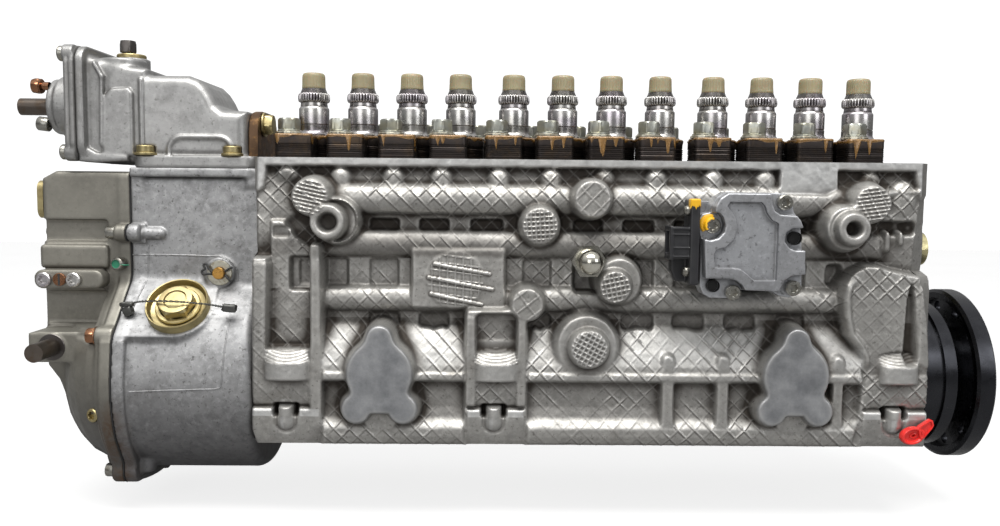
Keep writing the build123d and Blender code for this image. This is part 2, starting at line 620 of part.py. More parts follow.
with BuildPart() as governor_plug:
    with Locations(pad_plane.offset(-10)):
        Cylinder(11.95, 11.4, align=(Align.CENTER, Align.CENTER, Align.MIN))
    with Locations(pad_plane.offset(1.4)):
        Cylinder(14.8, 2.0, align=(Align.CENTER, Align.CENTER, Align.MIN))
    with BuildSketch(pad_plane.offset(3.4)):
        RegularPolygon(12.8, 6, rotation=10)
    extrude(amount=7.0)
governor_plug.part.label = "governor_plug"
export_step(governor_plug.part, "parts/governor_plug.step")

with BuildPart() as fulcrum_pin:
    with Locations((-527.2, 1.5, 71.8)):
        Cylinder(4.2, 81, rotation=(90, 0, 0))               # Y -39 to +42
    with Locations((-527.2, -34.9, 71.8)):
        Cylinder(7.2, 1.6, rotation=(90, 0, 0))
fulcrum_pin.part.label = "fulcrum_pin"
export_step(fulcrum_pin.part, "parts/fulcrum_pin.step")

# ----------------------------------------------------- governor, inner parts
with BuildPart() as flyweight_carrier:
    with Locations((-553.0, 0, 0)):
        Cylinder(28.0, 8.0, rotation=(0, 90, 0))
    with Locations((-548.0, 0, 0)):
        Cylinder(20.0, 6.0, rotation=(0, 90, 0))
    # flats that the weights swing past
    for s in (-1, 1):
        with Locations((-553.0, 0, s * 29.5)):
            Box(12.0, 60.0, 11.0, mode=Mode.SUBTRACT)
    for s in (-1, 1):
        with Locations((-566.0, s * 23.5, 0)):
            Box(26.0, 4.0, 72.0)
    with Locations((-560, 0, 0)):
        Cylinder(7.95, 40, rotation=(0, 90, 0), mode=Mode.SUBTRACT)
    with Locations((-542, 0, 0)):
        Cylinder(15.0, 20, rotation=(0, 90, 0), mode=Mode.SUBTRACT)
    for s in (-1, 1):
        with Locations((WEIGHT_X, 0, s * WEIGHT_Z)):
            Cylinder(3.05, 60, rotation=(90, 0, 0), mode=Mode.SUBTRACT)
flyweight_carrier.part.label = "flyweight_carrier"
export_step(flyweight_carrier.part, "parts/flyweight_carrier.step")

with BuildPart() as flyweight_upper:
    with Locations((WEIGHT_X, 0, WEIGHT_Z)):
        Cylinder(3.0, 50, rotation=(90, 0, 0))
        Cylinder(6.0, 40, rotation=(90, 0, 0))
    with Locations((WEIGHT_X + 19, 0, WEIGHT_Z + 10)):
        Box(22, 36, 12)
    with Locations((WEIGHT_X + 6, 0, WEIGHT_Z + 6)):
        Box(10, 36, 6)
    with Locations((WEIGHT_X, 0, WEIGHT_Z - 8)):
        Box(4, 6, 14)
    with Locations((WEIGHT_X, 0, 14.4)):
        Sphere(2.2)
flyweight_upper.part.label = "flyweight_upper"
export_step(flyweight_upper.part, "parts/flyweight_upper.step")

with BuildPart() as flyweight_lower:
    add(mirror(flyweight_upper.part, about=Plane.XY, mode=Mode.PRIVATE))
flyweight_lower.part.label = "flyweight_lower"
export_step(flyweight_lower.part, "parts/flyweight_lower.step")

with BuildPart() as governor_sleeve:
    with BuildSketch(Plane.XZ):
        with BuildLine():
            Polyline(
                (-565.6, 8.0), (-565.6, 17.0), (-569.6, 17.0), (-569.6, 12.0), (-576.4, 12.0), (-576.4, 17.0),
                (-580.0, 17.0), (-580.0, 12.0), (-593.0, 12.0), (-593.0, 15.5), (-596.8, 15.5), (-596.8, 12.0),
                (-603.2, 12.0), (-603.2, 15.5), (-607.0, 15.5), (-607.0, 8.0), close=True,
            )
        make_face()
    revolve(axis=Axis.X)
governor_sleeve.part.label = "governor_sleeve"
export_step(governor_sleeve.part, "parts/governor_sleeve.step")

with BuildPart() as governor_lever:
    with Locations((LEVER_X, 0, LEVER_Z)):
        Cylinder(6.0, 40, rotation=(90, 0, 0))
        Cylinder(3.05, 60, rotation=(90, 0, 0), mode=Mode.SUBTRACT)
    for s in (-1, 1):
        with Locations((LEVER_X, s * 18.0, 12.5)):
            Box(8.0, 4.0, 25.0)
        with Locations((LEVER_X, s * 15.5, 0)):
            Cylinder(2.0, 5.6, rotation=(90, 0, 0))
    with Locations((LEVER_X, 6.5, 62.5)):
        Box(7.0, 5.0, 55.0)
    with Locations((LEVER_X, 13.0, RACK_Z)):
        Cylinder(2.5, 18, rotation=(90, 0, 0))
    with Locations((LEVER_X, 0, LEVER_Z)):
        Cylinder(3.05, 60, rotation=(90, 0, 0), mode=Mode.SUBTRACT)
governor_lever.part.label = "governor_lever"
export_step(governor_lever.part, "parts/governor_lever.step")

with BuildPart() as lever_bracket:
    for s in (-1, 1):
        with Locations((-618.6, s * 22.6, LEVER_Z)):
            Box(49.2, 3.6, 12)                               # X -643.2 to -594
    with Locations((LEVER_X, 0, LEVER_Z)):
        Cylinder(3.0, 48.8, rotation=(90, 0, 0))
    with Locations((LEVER_SHAFT_X, -22.6, LEVER_SHAFT_Z)):
        Cylinder(6.6, 6, rotation=(90, 0, 0), mode=Mode.SUBTRACT)
lever_bracket.part.label = "lever_bracket"
export_step(lever_bracket.part, "parts/lever_bracket.step")

with BuildPart() as control_lever_shaft:
    with Locations((LEVER_SHAFT_X, -66.1, LEVER_SHAFT_Z)):
        Cylinder(6.0, 23.8, rotation=(90, 0, 0))             # clamping end, Y -78 to -54.2
    with Locations((LEVER_SHAFT_X, -34.2, LEVER_SHAFT_Z)):
        Cylinder(5.4, 40.4, rotation=(90, 0, 0))             # journal, Y -54.4 to -14
    with Locations((LEVER_SHAFT_X, -16.5, LEVER_SHAFT_Z - 7)):
        Box(6, 5, 20)
control_lever_shaft.part.label = "control_lever_shaft"
export_step(control_lever_shaft.part, "parts/control_lever_shaft.step")

# ------------------------------------------------------- stop/boost actuator
with BuildPart() as compensator_housing:
    with Locations((-543.25, 4.5, 147.6)):
        Box(84.5, 75, 8.4)                                   # base flange, X -585.5 to -501
    with BuildSketch(Plane.XZ.offset(30)):
        with BuildLine():
            Polyline(
                (-621, 148), (-612, 146.2), (-586, 146.2), (-586, 150), (-508, 150), (-508, 181.8), (-514, 183),
                (-519, 192), (-526, 201), (-536, 206), (-550, 207), (-570, 207), (-578, 210), (-587, 212),
                (-587, 218.4), (-609, 218.4), (-609, 216), (-615, 219), (-621, 221), close=True,
            )
        make_face()
    extrude(amount=-66)                                      # Y -30 to +36
    # plate flange at the left end
    with BuildSketch(Plane.YZ.offset(-621)):
        with Locations((2, 186.4)):
            RectangleRounded(78, 78, 12)
    extrude(amount=5.4)
    with Locations((-598, 3, 218.4)):
        Cylinder(11.0, 3.0, align=(Align.CENTER, Align.CENTER, Align.MIN))
    # hollow
    with Locations((-594, 3, 182)):
        Box(56, 50, 58, mode=Mode.SUBTRACT)
    with Locations((-546, 3, 174)):
        Box(62, 50, 42, mode=Mode.SUBTRACT)
    with Locations((-598, 3, 215)):
        Cylinder(7.0, 20, mode=Mode.SUBTRACT)
    with Locations(*[(x, y, 147.6) for x in (-576.8, -517.8) for y in (-27, 35)]):
        Cylinder(3.1, 14, mode=Mode.SUBTRACT)
    with Locations(*[(x, y, 156.5) for x in (-576.8, -517.8) for y in (-27, 35)]):
        Box(15, 15, 9.4, mode=Mode.SUBTRACT)
compensator_housing.part.label = "compensator_housing"
export_step(compensator_housing.part, "parts/compensator_housing.step")

with BuildPart() as compensator_cover:
    with BuildSketch(Plane.YZ.offset(-628.6)):
        with Locations((2, 186.4)):
            RectangleRounded(80, 79, 13)
    extrude(amount=7.6)
    with Locations((-636.6, 0, STOP_Z)):
        Cylinder(21.7, 16, rotation=(0, 90, 0))
    with Locations((-648.0, 0, STOP_Z)):
        Cylinder(19.5, 8, rotation=(0, 90, 0))
    with Locations((-640.0, 0, STOP_Z)):
        Cylinder(5.45, 60, rotation=(0, 90, 0), mode=Mode.SUBTRACT)
    with Locations(*[(-626, y, z) for y in (-31, 35) for z in (153.4, 219.4)]):
        Cylinder(3.0, 30, rotation=(0, 90, 0), mode=Mode.SUBTRACT)
compensator_cover.part.label = "compensator_cover"
export_step(compensator_cover.part, "parts/compensator_cover.step")

with BuildPart() as stop_shaft:
    with Locations((-664.1, 0, STOP_Z)):
        Cylinder(6.0, 23.8, rotation=(0, 90, 0))             # clamping end, X -676 to -652.2
    with Locations((-639.0, 0, STOP_Z)):
        Cylinder(5.4, 26.8, rotation=(0, 90, 0))             # journal, X -652.4 to -625.6
    with Locations((-621, 0, STOP_Z)):
        Cylinder(5.0, 12, rotation=(0, 90, 0))
    with Locations((-613, 0, STOP_Z - 8)):
        Box(5, 8, 24)
    with Locations((-668.0, 0, STOP_Z)):
        Cylinder(1.3, 20, mode=Mode.SUBTRACT)
stop_shaft.part.label = "stop_shaft"
export_step(stop_shaft.part, "parts/stop_shaft.step")

with BuildPart() as stop_screws:
    with Locations((-656.6, -14, 199.5)):
        Cylinder(2.8, 9, rotation=(0, 90, 0))
    with BuildSketch(Plane.YZ.offset(-664)):
        with Locations((-14, 199.5)):
            RegularPolygon(4.8, 6)
    extrude(amount=6)
    with Locations((-655.6, -14, 173.5)):
        Cylinder(4.0, 7, rotation=(0, 90, 0))
    with Locations((-652.2, -15, 98.5)):
        Cylinder(4.2, 6, rotation=(0, 90, 0))
    with Locations((-656, -14, 173.5)):
        Cylinder(1.2, 12, rotation=(90, 0, 0), mode=Mode.SUBTRACT)
stop_screws.part.label = "stop_screws"
export_step(stop_screws.part, "parts/stop_screws.step")

with BuildPart() as compensator_cap:
    with Locations((-598, 3, 221.4)):
        Cylinder(10.9, 2.6, align=(Align.CENTER, Align.CENTER, Align.MIN))
    with Locations((-598, 3, 216)):
        Cylinder(6.95, 6, align=(Align.CENTER, Align.CENTER, Align.MIN))
    with Locations((-598, 3, 222)):
        Cylinder(3.0, 6, mode=Mode.SUBTRACT)
compensator_cap.part.label = "compensator_cap"
export_step(compensator_cap.part, "parts/compensator_cap.step")

with BuildPart() as bleed_screw:
    with Locations((-598, 3, 219.5)):
        Cylinder(2.95, 5, align=(Align.CENTER, Align.CENTER, Align.MIN))
    with BuildSketch(Plane.XY.offset(224.0)):
        with Locations((-598, 3)):
            RegularPolygon(5.6, 6)
    extrude(amount=5.5)
    with Locations((-598, 3, 230)):
        Sphere(3.8)
bleed_screw.part.label = "bleed_screw"
export_step(bleed_screw.part, "parts/bleed_screw.step")

with BuildPart() as compensator_screws:
    for y in (-31, 35):
        for z in (153.4, 219.4):
            with Locations((-631.2, y, z)):
                Cylinder(4.6, 5.2, rotation=(0, 90, 0))
            with Locations((-626, y, z)):
                Cylinder(2.9, 9.9, rotation=(0, 90, 0))
    for x in (-576.8, -517.8):
        for y in (-27, 35):
            with Locations((x, y, 146)):
                Cylinder(2.95, 18)
            with BuildSketch(Plane.XY.offset(151.8)):
                with Locations((x, y)):
                    Circle(6.6)
            extrude(amount=1.2)
            with BuildSketch(Plane.XY.offset(153.0)):
                with Locations((x, y)):
                    RegularPolygon(5.6, 6)
            extrude(amount=5.4)
    with Locations((-502, -10, 175.4)):
        Cylinder(3.0, 12, rotation=(0, 90, 0))
    with BuildSketch(Plane.YZ.offset(-501.2)):
        with Locations((-10, 175.4)):
            RegularPolygon(7.5, 6)
    extrude(amount=5)
compensator_screws.part.label = "compensator_screws"
export_step(compensator_screws.part, "parts/compensator_screws.step")

with BuildPart() as end_bracket:
    with Locations((-504.6, 3, 167.4)):
        Box(6.8, 56, 31.2)
    with Locations((-504, -10, 175.4)):
        Cylinder(3.1, 14, rotation=(0, 90, 0), mode=Mode.SUBTRACT)
end_bracket.part.label = "end_bracket"
export_step(end_bracket.part, "parts/end_bracket.step")

# ------------------------------------------------------- seal wire, split pin
WIRE_PTS = [(-578.6, -54.4, 53.2), (-569.5, -57.2, 54.6), (-549.2, -60.2, 55.1), (-528.0, -57.5, 53.0), (-517.0, -56.2, 51.0)]
with BuildPart() as seal_wire:
    with BuildLine() as wire_path:
        Polyline(*WIRE_PTS)
    with BuildSketch(Plane(origin=WIRE_PTS[0], z_dir=tuple((Vector(*WIRE_PTS[1]) - Vector(*WIRE_PTS[0])).normalized()))):
        Circle(0.6)
    sweep(path=wire_path.wires()[0], transition=Transition.ROUND)
    with Locations((-582.0, -54.2, 50.4)):
        Box(8, 5, 9)
    with Locations((-513.5, -56.2, 50.4)):
        Box(9, 5, 7)
seal_wire.part.label = "seal_wire"
export_step(seal_wire.part, "parts/seal_wire.step")
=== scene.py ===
import math
import bpy
import bmesh
import numpy as np
from mathutils import Matrix, Vector
from mathutils.geometry import tessellate_polygon


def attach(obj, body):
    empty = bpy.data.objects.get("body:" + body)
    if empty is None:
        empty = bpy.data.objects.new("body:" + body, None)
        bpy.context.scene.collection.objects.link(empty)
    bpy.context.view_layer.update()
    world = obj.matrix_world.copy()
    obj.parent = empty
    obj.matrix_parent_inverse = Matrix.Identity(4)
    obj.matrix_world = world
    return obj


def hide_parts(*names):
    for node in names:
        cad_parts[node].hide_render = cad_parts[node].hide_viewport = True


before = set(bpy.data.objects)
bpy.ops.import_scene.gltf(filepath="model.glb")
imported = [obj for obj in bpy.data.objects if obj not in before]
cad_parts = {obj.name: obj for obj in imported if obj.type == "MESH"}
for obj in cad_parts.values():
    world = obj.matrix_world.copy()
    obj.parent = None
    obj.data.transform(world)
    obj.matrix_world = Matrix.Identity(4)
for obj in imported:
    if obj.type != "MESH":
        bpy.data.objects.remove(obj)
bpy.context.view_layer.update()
MM = 0.001
scene = bpy.context.scene

# ------------------------------------------------------------------ geometry
HOUSING_L, HOUSING_R = -497.9, -47.5
DECK_Z, BASE_Z = 150.5, -39.0
ELEMENT_X = [-467.6 + 35.0 * k + 3.0 * (k // 4) for k in range(12)]
BOLT_DX, BOLT_DY = 12.1, 25.7
RACK_SPIN = 0.0
FOOT_X = (-474.0, -336.0, -70.6)


# ------------------------------------------------------------- small helpers
def sstep(a, b, x):
    t = np.clip((x - a) / (b - a), 0.0, 1.0)
    return t * t * (3.0 - 2.0 * t)


def lattice_noise(x, y, scale, seed):
    """Smooth value noise from a seeded lattice, about -1 to 1."""
    rng = np.random.default_rng(seed)
    grid = rng.random((64, 64)) * 2 - 1
    u, v = x / scale, y / scale
    iu, iv = np.floor(u).astype(int), np.floor(v).astype(int)
    fu, fv = u - iu, v - iv
    fu, fv = fu * fu * (3 - 2 * fu), fv * fv * (3 - 2 * fv)
    a, b = grid[iu % 64, iv % 64], grid[(iu + 1) % 64, iv % 64]
    c, d = grid[iu % 64, (iv + 1) % 64], grid[(iu + 1) % 64, (iv + 1) % 64]
    return (a * (1 - fu) + b * fu) * (1 - fv) + (c * (1 - fu) + d * fu) * fv


def circ(X, Z, cx, cz, r):
    return np.hypot(X - cx, Z - cz) - r


def rbox(X, Z, x0, x1, z0, z1, r=1.5):
    qx = np.abs(X - (x0 + x1) / 2) - (x1 - x0) / 2 + r
    qz = np.abs(Z - (z0 + z1) / 2) - (z1 - z0) / 2 + r
    return np.hypot(np.maximum(qx, 0), np.maximum(qz, 0)) + np.minimum(np.maximum(qx, qz), 0) - r


def capsule(X, Z, ax, az, bx, bz, r):
    px, pz, dx, dz = X - ax, Z - az, bx - ax, bz - az
    t = np.clip((px * dx + pz * dz) / (dx * dx + dz * dz), 0, 1)
    return np.hypot(px - dx * t, pz - dz * t) - r


def poly(X, Z, pts):
    """Signed distance to a polygon, negative inside."""
    d = np.full(X.shape, 1e9)
    inside = np.zeros(X.shape, bool)
    n = len(pts)
    for i in range(n):
        ax, az = pts[i]
        bx, bz = pts[(i + 1) % n]
        ex, ez = bx - ax, bz - az
        wx, wz = X - ax, Z - az
        t = np.clip((wx * ex + wz * ez) / (ex * ex + ez * ez), 0, 1)
        d = np.minimum(d, np.hypot(wx - ex * t, wz - ez * t))
        if az != bz:
            cross = ((az <= Z) & (bz > Z)) | ((bz <= Z) & (az > Z))
            xi = ax + (Z - az) / (bz - az) * ex
            inside ^= cross & (X < xi)
    return np.where(inside, -d, d)


def smin(a, b, k):
    h = np.clip(0.5 + 0.5 * (b - a) / k, 0, 1)
    return b + (a - b) * h - k * h * (1 - h)


def smax(a, b, k):
    return -smin(-a, -b, k)


def mask(d, w=1.6):
    """1 inside the outline, falling to 0 over w mm outside it."""
    return 1.0 - sstep(0.0, w, d)


def blur(A, s):
    """Separable Gaussian blur, s in cells."""
    r = max(1, int(3 * s))
    k = np.exp(-0.5 * (np.arange(-r, r + 1) / s) ** 2)
    k /= k.sum()
    for axis in (0, 1):
        pad = [(0, 0), (0, 0)]
        pad[axis] = (r, r)
        P = np.pad(A, pad, mode="edge")
        out = np.zeros_like(A)
        for i, w in enumerate(k):
            out += w * (P[i:i + A.shape[0], :] if axis == 0 else P[:, i:i + A.shape[1]])
        A = out
    return A


def mesh_object(name, verts_mm, faces, smooth=True, sharp=35.0):
    """An object from a vertex array in mm and a list or array of faces."""
    me = bpy.data.meshes.new(name)
    V = np.asarray(verts_mm, dtype=np.float32) * MM
    if isinstance(faces, np.ndarray):
        nf, k = faces.shape
        me.vertices.add(len(V))
        me.vertices.foreach_set("co", V.ravel())
        me.loops.add(nf * k)
        me.loops.foreach_set("vertex_index", faces.astype(np.int32).ravel())
        me.polygons.add(nf)
        me.polygons.foreach_set("loop_start", np.arange(0, nf * k, k, dtype=np.int32))
        me.update(calc_edges=True)
        me.validate()
    else:
        me.from_pydata([tuple(v) for v in V.tolist()], [], faces)
    if smooth:
        me.polygons.foreach_set("use_smooth", np.ones(len(me.polygons), dtype=bool))
        if sharp:
            me.set_sharp_from_angle(angle=math.radians(sharp))
    ob = bpy.data.objects.new(name, me)
    scene.collection.objects.link(ob)
    return ob


def set_attr(ob, name, values):
    at = ob.data.attributes.new(name, "FLOAT", "POINT")
    v = np.zeros(len(ob.data.vertices), dtype=np.float32)
    v[:len(values)] = values
    at.data.foreach_set("value", v)


def place(ob, mat, body, slot, *nodes):
    ob.data.materials.clear()
    ob.data.materials.append(mat)
    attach(ob, body)
    if nodes:
        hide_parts(*nodes)
    return ob


# ----------------------------------------------------------------- materials
class Nodes:
    def __init__(self, name):
        self.mat = bpy.data.materials.new(name)
        self.mat.use_nodes = True
        self.nt = self.mat.node_tree
        self.nt.nodes.clear()
        self.out = self.nt.nodes.new("ShaderNodeOutputMaterial")
        self.bsdf = self.nt.nodes.new("ShaderNodeBsdfPrincipled")
        self.nt.links.new(self.bsdf.outputs[0], self.out.inputs[0])
        self.coord = self.nt.nodes.new("ShaderNodeTexCoord").outputs["Object"]

    def set(self, **kw):
        for k, v in kw.items():
            self.bsdf.inputs[k.replace("_", " ")].default_value = v

    def link(self, a, b):
        self.nt.links.new(a, b)

    def noise(self, scale, detail=4.0, rough=0.55, vec=None, stretch=None, distortion=0.0):
        n = self.nt.nodes.new("ShaderNodeTexNoise")
        n.inputs["Scale"].default_value = scale
        n.inputs["Detail"].default_value = detail
        n.inputs["Roughness"].default_value = rough
        n.inputs["Distortion"].default_value = distortion
        src = vec or self.coord
        if stretch:
            m = self.nt.nodes.new("ShaderNodeMapping")
            m.inputs["Scale"].default_value = stretch
            self.link(src, m.inputs["Vector"])
            src = m.outputs[0]
        self.link(src, n.inputs["Vector"])
        return n.outputs["Fac"]

    def voronoi(self, scale, feature="F1"):
        n = self.nt.nodes.new("ShaderNodeTexVoronoi")
        n.feature = feature
        n.inputs["Scale"].default_value = scale
        self.link(self.coord, n.inputs["Vector"])
        return n.outputs["Distance"]

    def ramp(self, fac, stops, interp="LINEAR"):
        n = self.nt.nodes.new("ShaderNodeValToRGB")
        n.color_ramp.interpolation = interp
        el = n.color_ramp.elements
        while len(el) < len(stops):
            el.new(0.5)
        for e, (p, c) in zip(el, stops):
            e.position = p
            e.color = (c, c, c, 1) if isinstance(c, (int, float)) else (*c, 1)
        self.link(fac, n.inputs[0])
        return n.outputs[0]

    def mix(self, fac, a, b, blend="MIX"):
        n = self.nt.nodes.new("ShaderNodeMix")
        n.data_type = "RGBA"
        n.blend_type = blend
        for sock, val in ((n.inputs[0], fac), (n.inputs[6], a), (n.inputs[7], b)):
            if isinstance(val, (int, float)):
                sock.default_value = val if sock is n.inputs[0] else (val, val, val, 1)
            elif isinstance(val, (tuple, list)):
                sock.default_value = (*val, 1)
            else:
                self.link(val, sock)
        return n.outputs[2]

    def math(self, op, a, b=None, clamp=False):
        n = self.nt.nodes.new("ShaderNodeMath")
        n.operation = op
        n.use_clamp = clamp
        for sock, val in zip(n.inputs, (a, b)):
            if val is None:
                continue
            if isinstance(val, (int, float)):
                sock.default_value = val
            else:
                self.link(val, sock)
        return n.outputs[0]

    def attr(self, name):
        n = self.nt.nodes.new("ShaderNodeAttribute")
        n.attribute_name = name
        return n.outputs["Fac"]

    def sep(self):
        n = self.nt.nodes.new("ShaderNodeSeparateXYZ")
        self.link(self.coord, n.inputs[0])
        return n.outputs

    def pointy(self):
        n = self.nt.nodes.new("ShaderNodeNewGeometry")
        return n.outputs["Pointiness"]

    def bump(self, height, strength=0.3, distance=0.0005):
        n = self.nt.nodes.new("ShaderNodeBump")
        n.inputs["Strength"].default_value = strength
        n.inputs["Distance"].default_value = distance
        self.link(height, n.inputs["Height"])
        self.link(n.outputs[0], self.bsdf.inputs["Normal"])

    def color(self, c):
        self.link(c, self.bsdf.inputs["Base Color"])

    def rough(self, r):
        self.link(r, self.bsdf.inputs["Roughness"])


def cast_metal(name, base, dark, rough=(0.38, 0.6), metallic=0.85, cav=False, speck=0.35, grain=900, bump=0.35, stain=None, joint=False):
    """Die-cast aluminium: mottled tone, specks, oily stains; with cav, painted shade in the hollows, a lighter tone on
    smooth pads and machined faces and painted highlights on lit faces, edges and net ridges; with joint, painted shade
    darkening towards the bottom and rust by the joint.
    """
    m = Nodes(name)
    m.set(Metallic=metallic)
    big = m.noise(22, 5, 0.6)
    mid = m.noise(120, 6, 0.65)
    fine = m.noise(grain, 3, 0.6)
    tone = m.ramp(big, [(0.3, tuple(0.84 * c for c in base)), (0.52, base), (0.75, tuple(min(1, 1.1 * c) for c in base))])
    tone = m.mix(m.math("MULTIPLY", m.ramp(mid, [(0.46, 0.0), (0.66, 1.0)]), speck * 1.3, clamp=True), tone, tuple(0.55 * c for c in base))
    tone = m.mix(m.math("MULTIPLY", m.ramp(m.noise(260, 5, 0.7), [(0.52, 0.0), (0.66, 1.0)]), speck, clamp=True), tone, tuple(min(1, 1.45 * c) for c in base))
    spots = m.ramp(m.noise(430, 3, 0.6), [(0.6, 0.0), (0.7, 1.0)])
    tone = m.mix(m.math("MULTIPLY", spots, speck * 1.3, clamp=True), tone, dark)
    if stain:
        s = m.ramp(m.noise(14, 6, 0.7, distortion=0.6), [(0.56, 0.0), (0.7, 1.0)])
        tone = m.mix(m.math("MULTIPLY", s, 0.45), tone, stain)
    if joint:
        xyz = m.sep()
        near = m.math("SUBTRACT", 1.0, m.math("MULTIPLY", m.math("ABSOLUTE", m.math("ADD", xyz[0], 0.590)), 75.0), clamp=True)
        low = m.math("MULTIPLY", m.math("SUBTRACT", -0.004, xyz[2]), 40.0, clamp=True)
        # painted shade: the colour darkens towards the bottom
        under = m.math("MULTIPLY", m.math("SUBTRACT", 0.010, xyz[2]), 17.0, clamp=True)
        tone = m.mix(m.math("MULTIPLY", under, 0.74), tone, (0.075, 0.073, 0.076))
        rust = m.ramp(m.noise(95, 6, 0.7, distortion=0.5), [(0.38, 0.0), (0.6, 1.0)])
        tone = m.mix(m.math("MULTIPLY", m.math("MULTIPLY", near, low), m.math("MULTIPLY", rust, 0.85), clamp=True), tone, (0.105, 0.06, 0.032))
    if cav:
        tone = m.mix(m.attr("smooth"), tone, m.mix(m.ramp(m.noise(70, 5, 0.6), [(0.35, 0.0), (0.7, 1.0)]), (0.205, 0.211, 0.222), (0.375, 0.380, 0.390)))
        # lighter tone on machined faces, and painted highlights on lit faces
        tone = m.mix(m.attr("machined_and_painted_highlight"), tone, m.mix(m.ramp(m.noise(160, 5, 0.7), [(0.4, 0.0), (0.65, 1.0)]), (0.60, 0.60, 0.59), (0.47, 0.47, 0.465)))
        # painted shade in the hollows
        c = m.attr("cav")
        tone = m.mix(m.math("MULTIPLY", c, float(cav), clamp=True), tone, dark)
        # painted highlight on convex edges and on the raised net lines
        e = m.attr("edge")
        tone = m.mix(m.math("MULTIPLY", e, 0.55, clamp=True), tone, (0.60, 0.59, 0.57))
    m.color(tone)
    r = m.ramp(mid, [(0.3, rough[0]), (0.75, rough[1])])
    if cav:
        r = m.mix(m.attr("cav"), r, 0.75)
    m.rough(r)
    h = m.math("ADD", m.math("MULTIPLY", fine, 0.5), m.math("MULTIPLY", mid, 0.8))
    m.bump(h, bump, 0.0004)
    return m.mat


def plain_metal(name, base, rough=(0.22, 0.4), metallic=1.0, tint=None, scale=60, bump=0.08, stretch=None, dirt=None, dirt_amount=0.5, coat=0.0, cav=None):
    m = Nodes(name)
    m.set(Metallic=metallic)
    if coat:
        m.set(Coat_Weight=coat, Coat_Roughness=0.15)
    n1 = m.noise(scale, 5, 0.6, stretch=stretch)
    c = m.ramp(n1, [(0.3, tuple(0.78 * x for x in base)), (0.55, base), (0.8, tuple(min(1, 1.15 * x) for x in base))])
    if tint:
        t = m.noise(scale * 0.8, 3, 0.5, stretch=(1, 1, 2.2))
        c = m.mix(m.ramp(t, [(0.42, 0.0), (0.62, 0.75)]), c, tint)
    if dirt:
        d = m.ramp(m.noise(scale * 2.1, 6, 0.7, distortion=0.4), [(0.5, 0.0), (0.68, 1.0)])
        c = m.mix(m.math("MULTIPLY", d, dirt_amount), c, dirt)
    # painted shade from the cav attribute
    if cav:
        c = m.mix(m.math("MULTIPLY", m.attr("cav"), 1.0, clamp=True), c, cav)
    m.color(c)
    m.rough(m.ramp(m.noise(scale * 3, 4, 0.6, stretch=stretch), [(0.3, rough[0]), (0.7, rough[1])]))
    m.bump(m.noise(scale * 14, 3, 0.6, stretch=stretch), bump, 0.0003)
    return m.mat


def plastic(name, base, rough=(0.3, 0.45), scale=80, bump=0.1, transmission=0.0, sss=0.0):
    m = Nodes(name)
    m.set(Metallic=0.0)
    if transmission:
        m.set(Transmission_Weight=transmission, IOR=1.45)
    if sss:
        m.set(Subsurface_Weight=sss, Subsurface_Scale=0.004)
    n = m.noise(scale, 4, 0.6)
    m.color(m.ramp(n, [(0.3, tuple(0.82 * x for x in base)), (0.6, base), (0.85, tuple(min(1, 1.12 * x) for x in base))]))
    m.rough(m.ramp(m.noise(scale * 3, 3, 0.5), [(0.3, rough[0]), (0.7, rough[1])]))
    m.bump(m.noise(scale * 10, 3, 0.5), bump, 0.0003)
    return m.mat


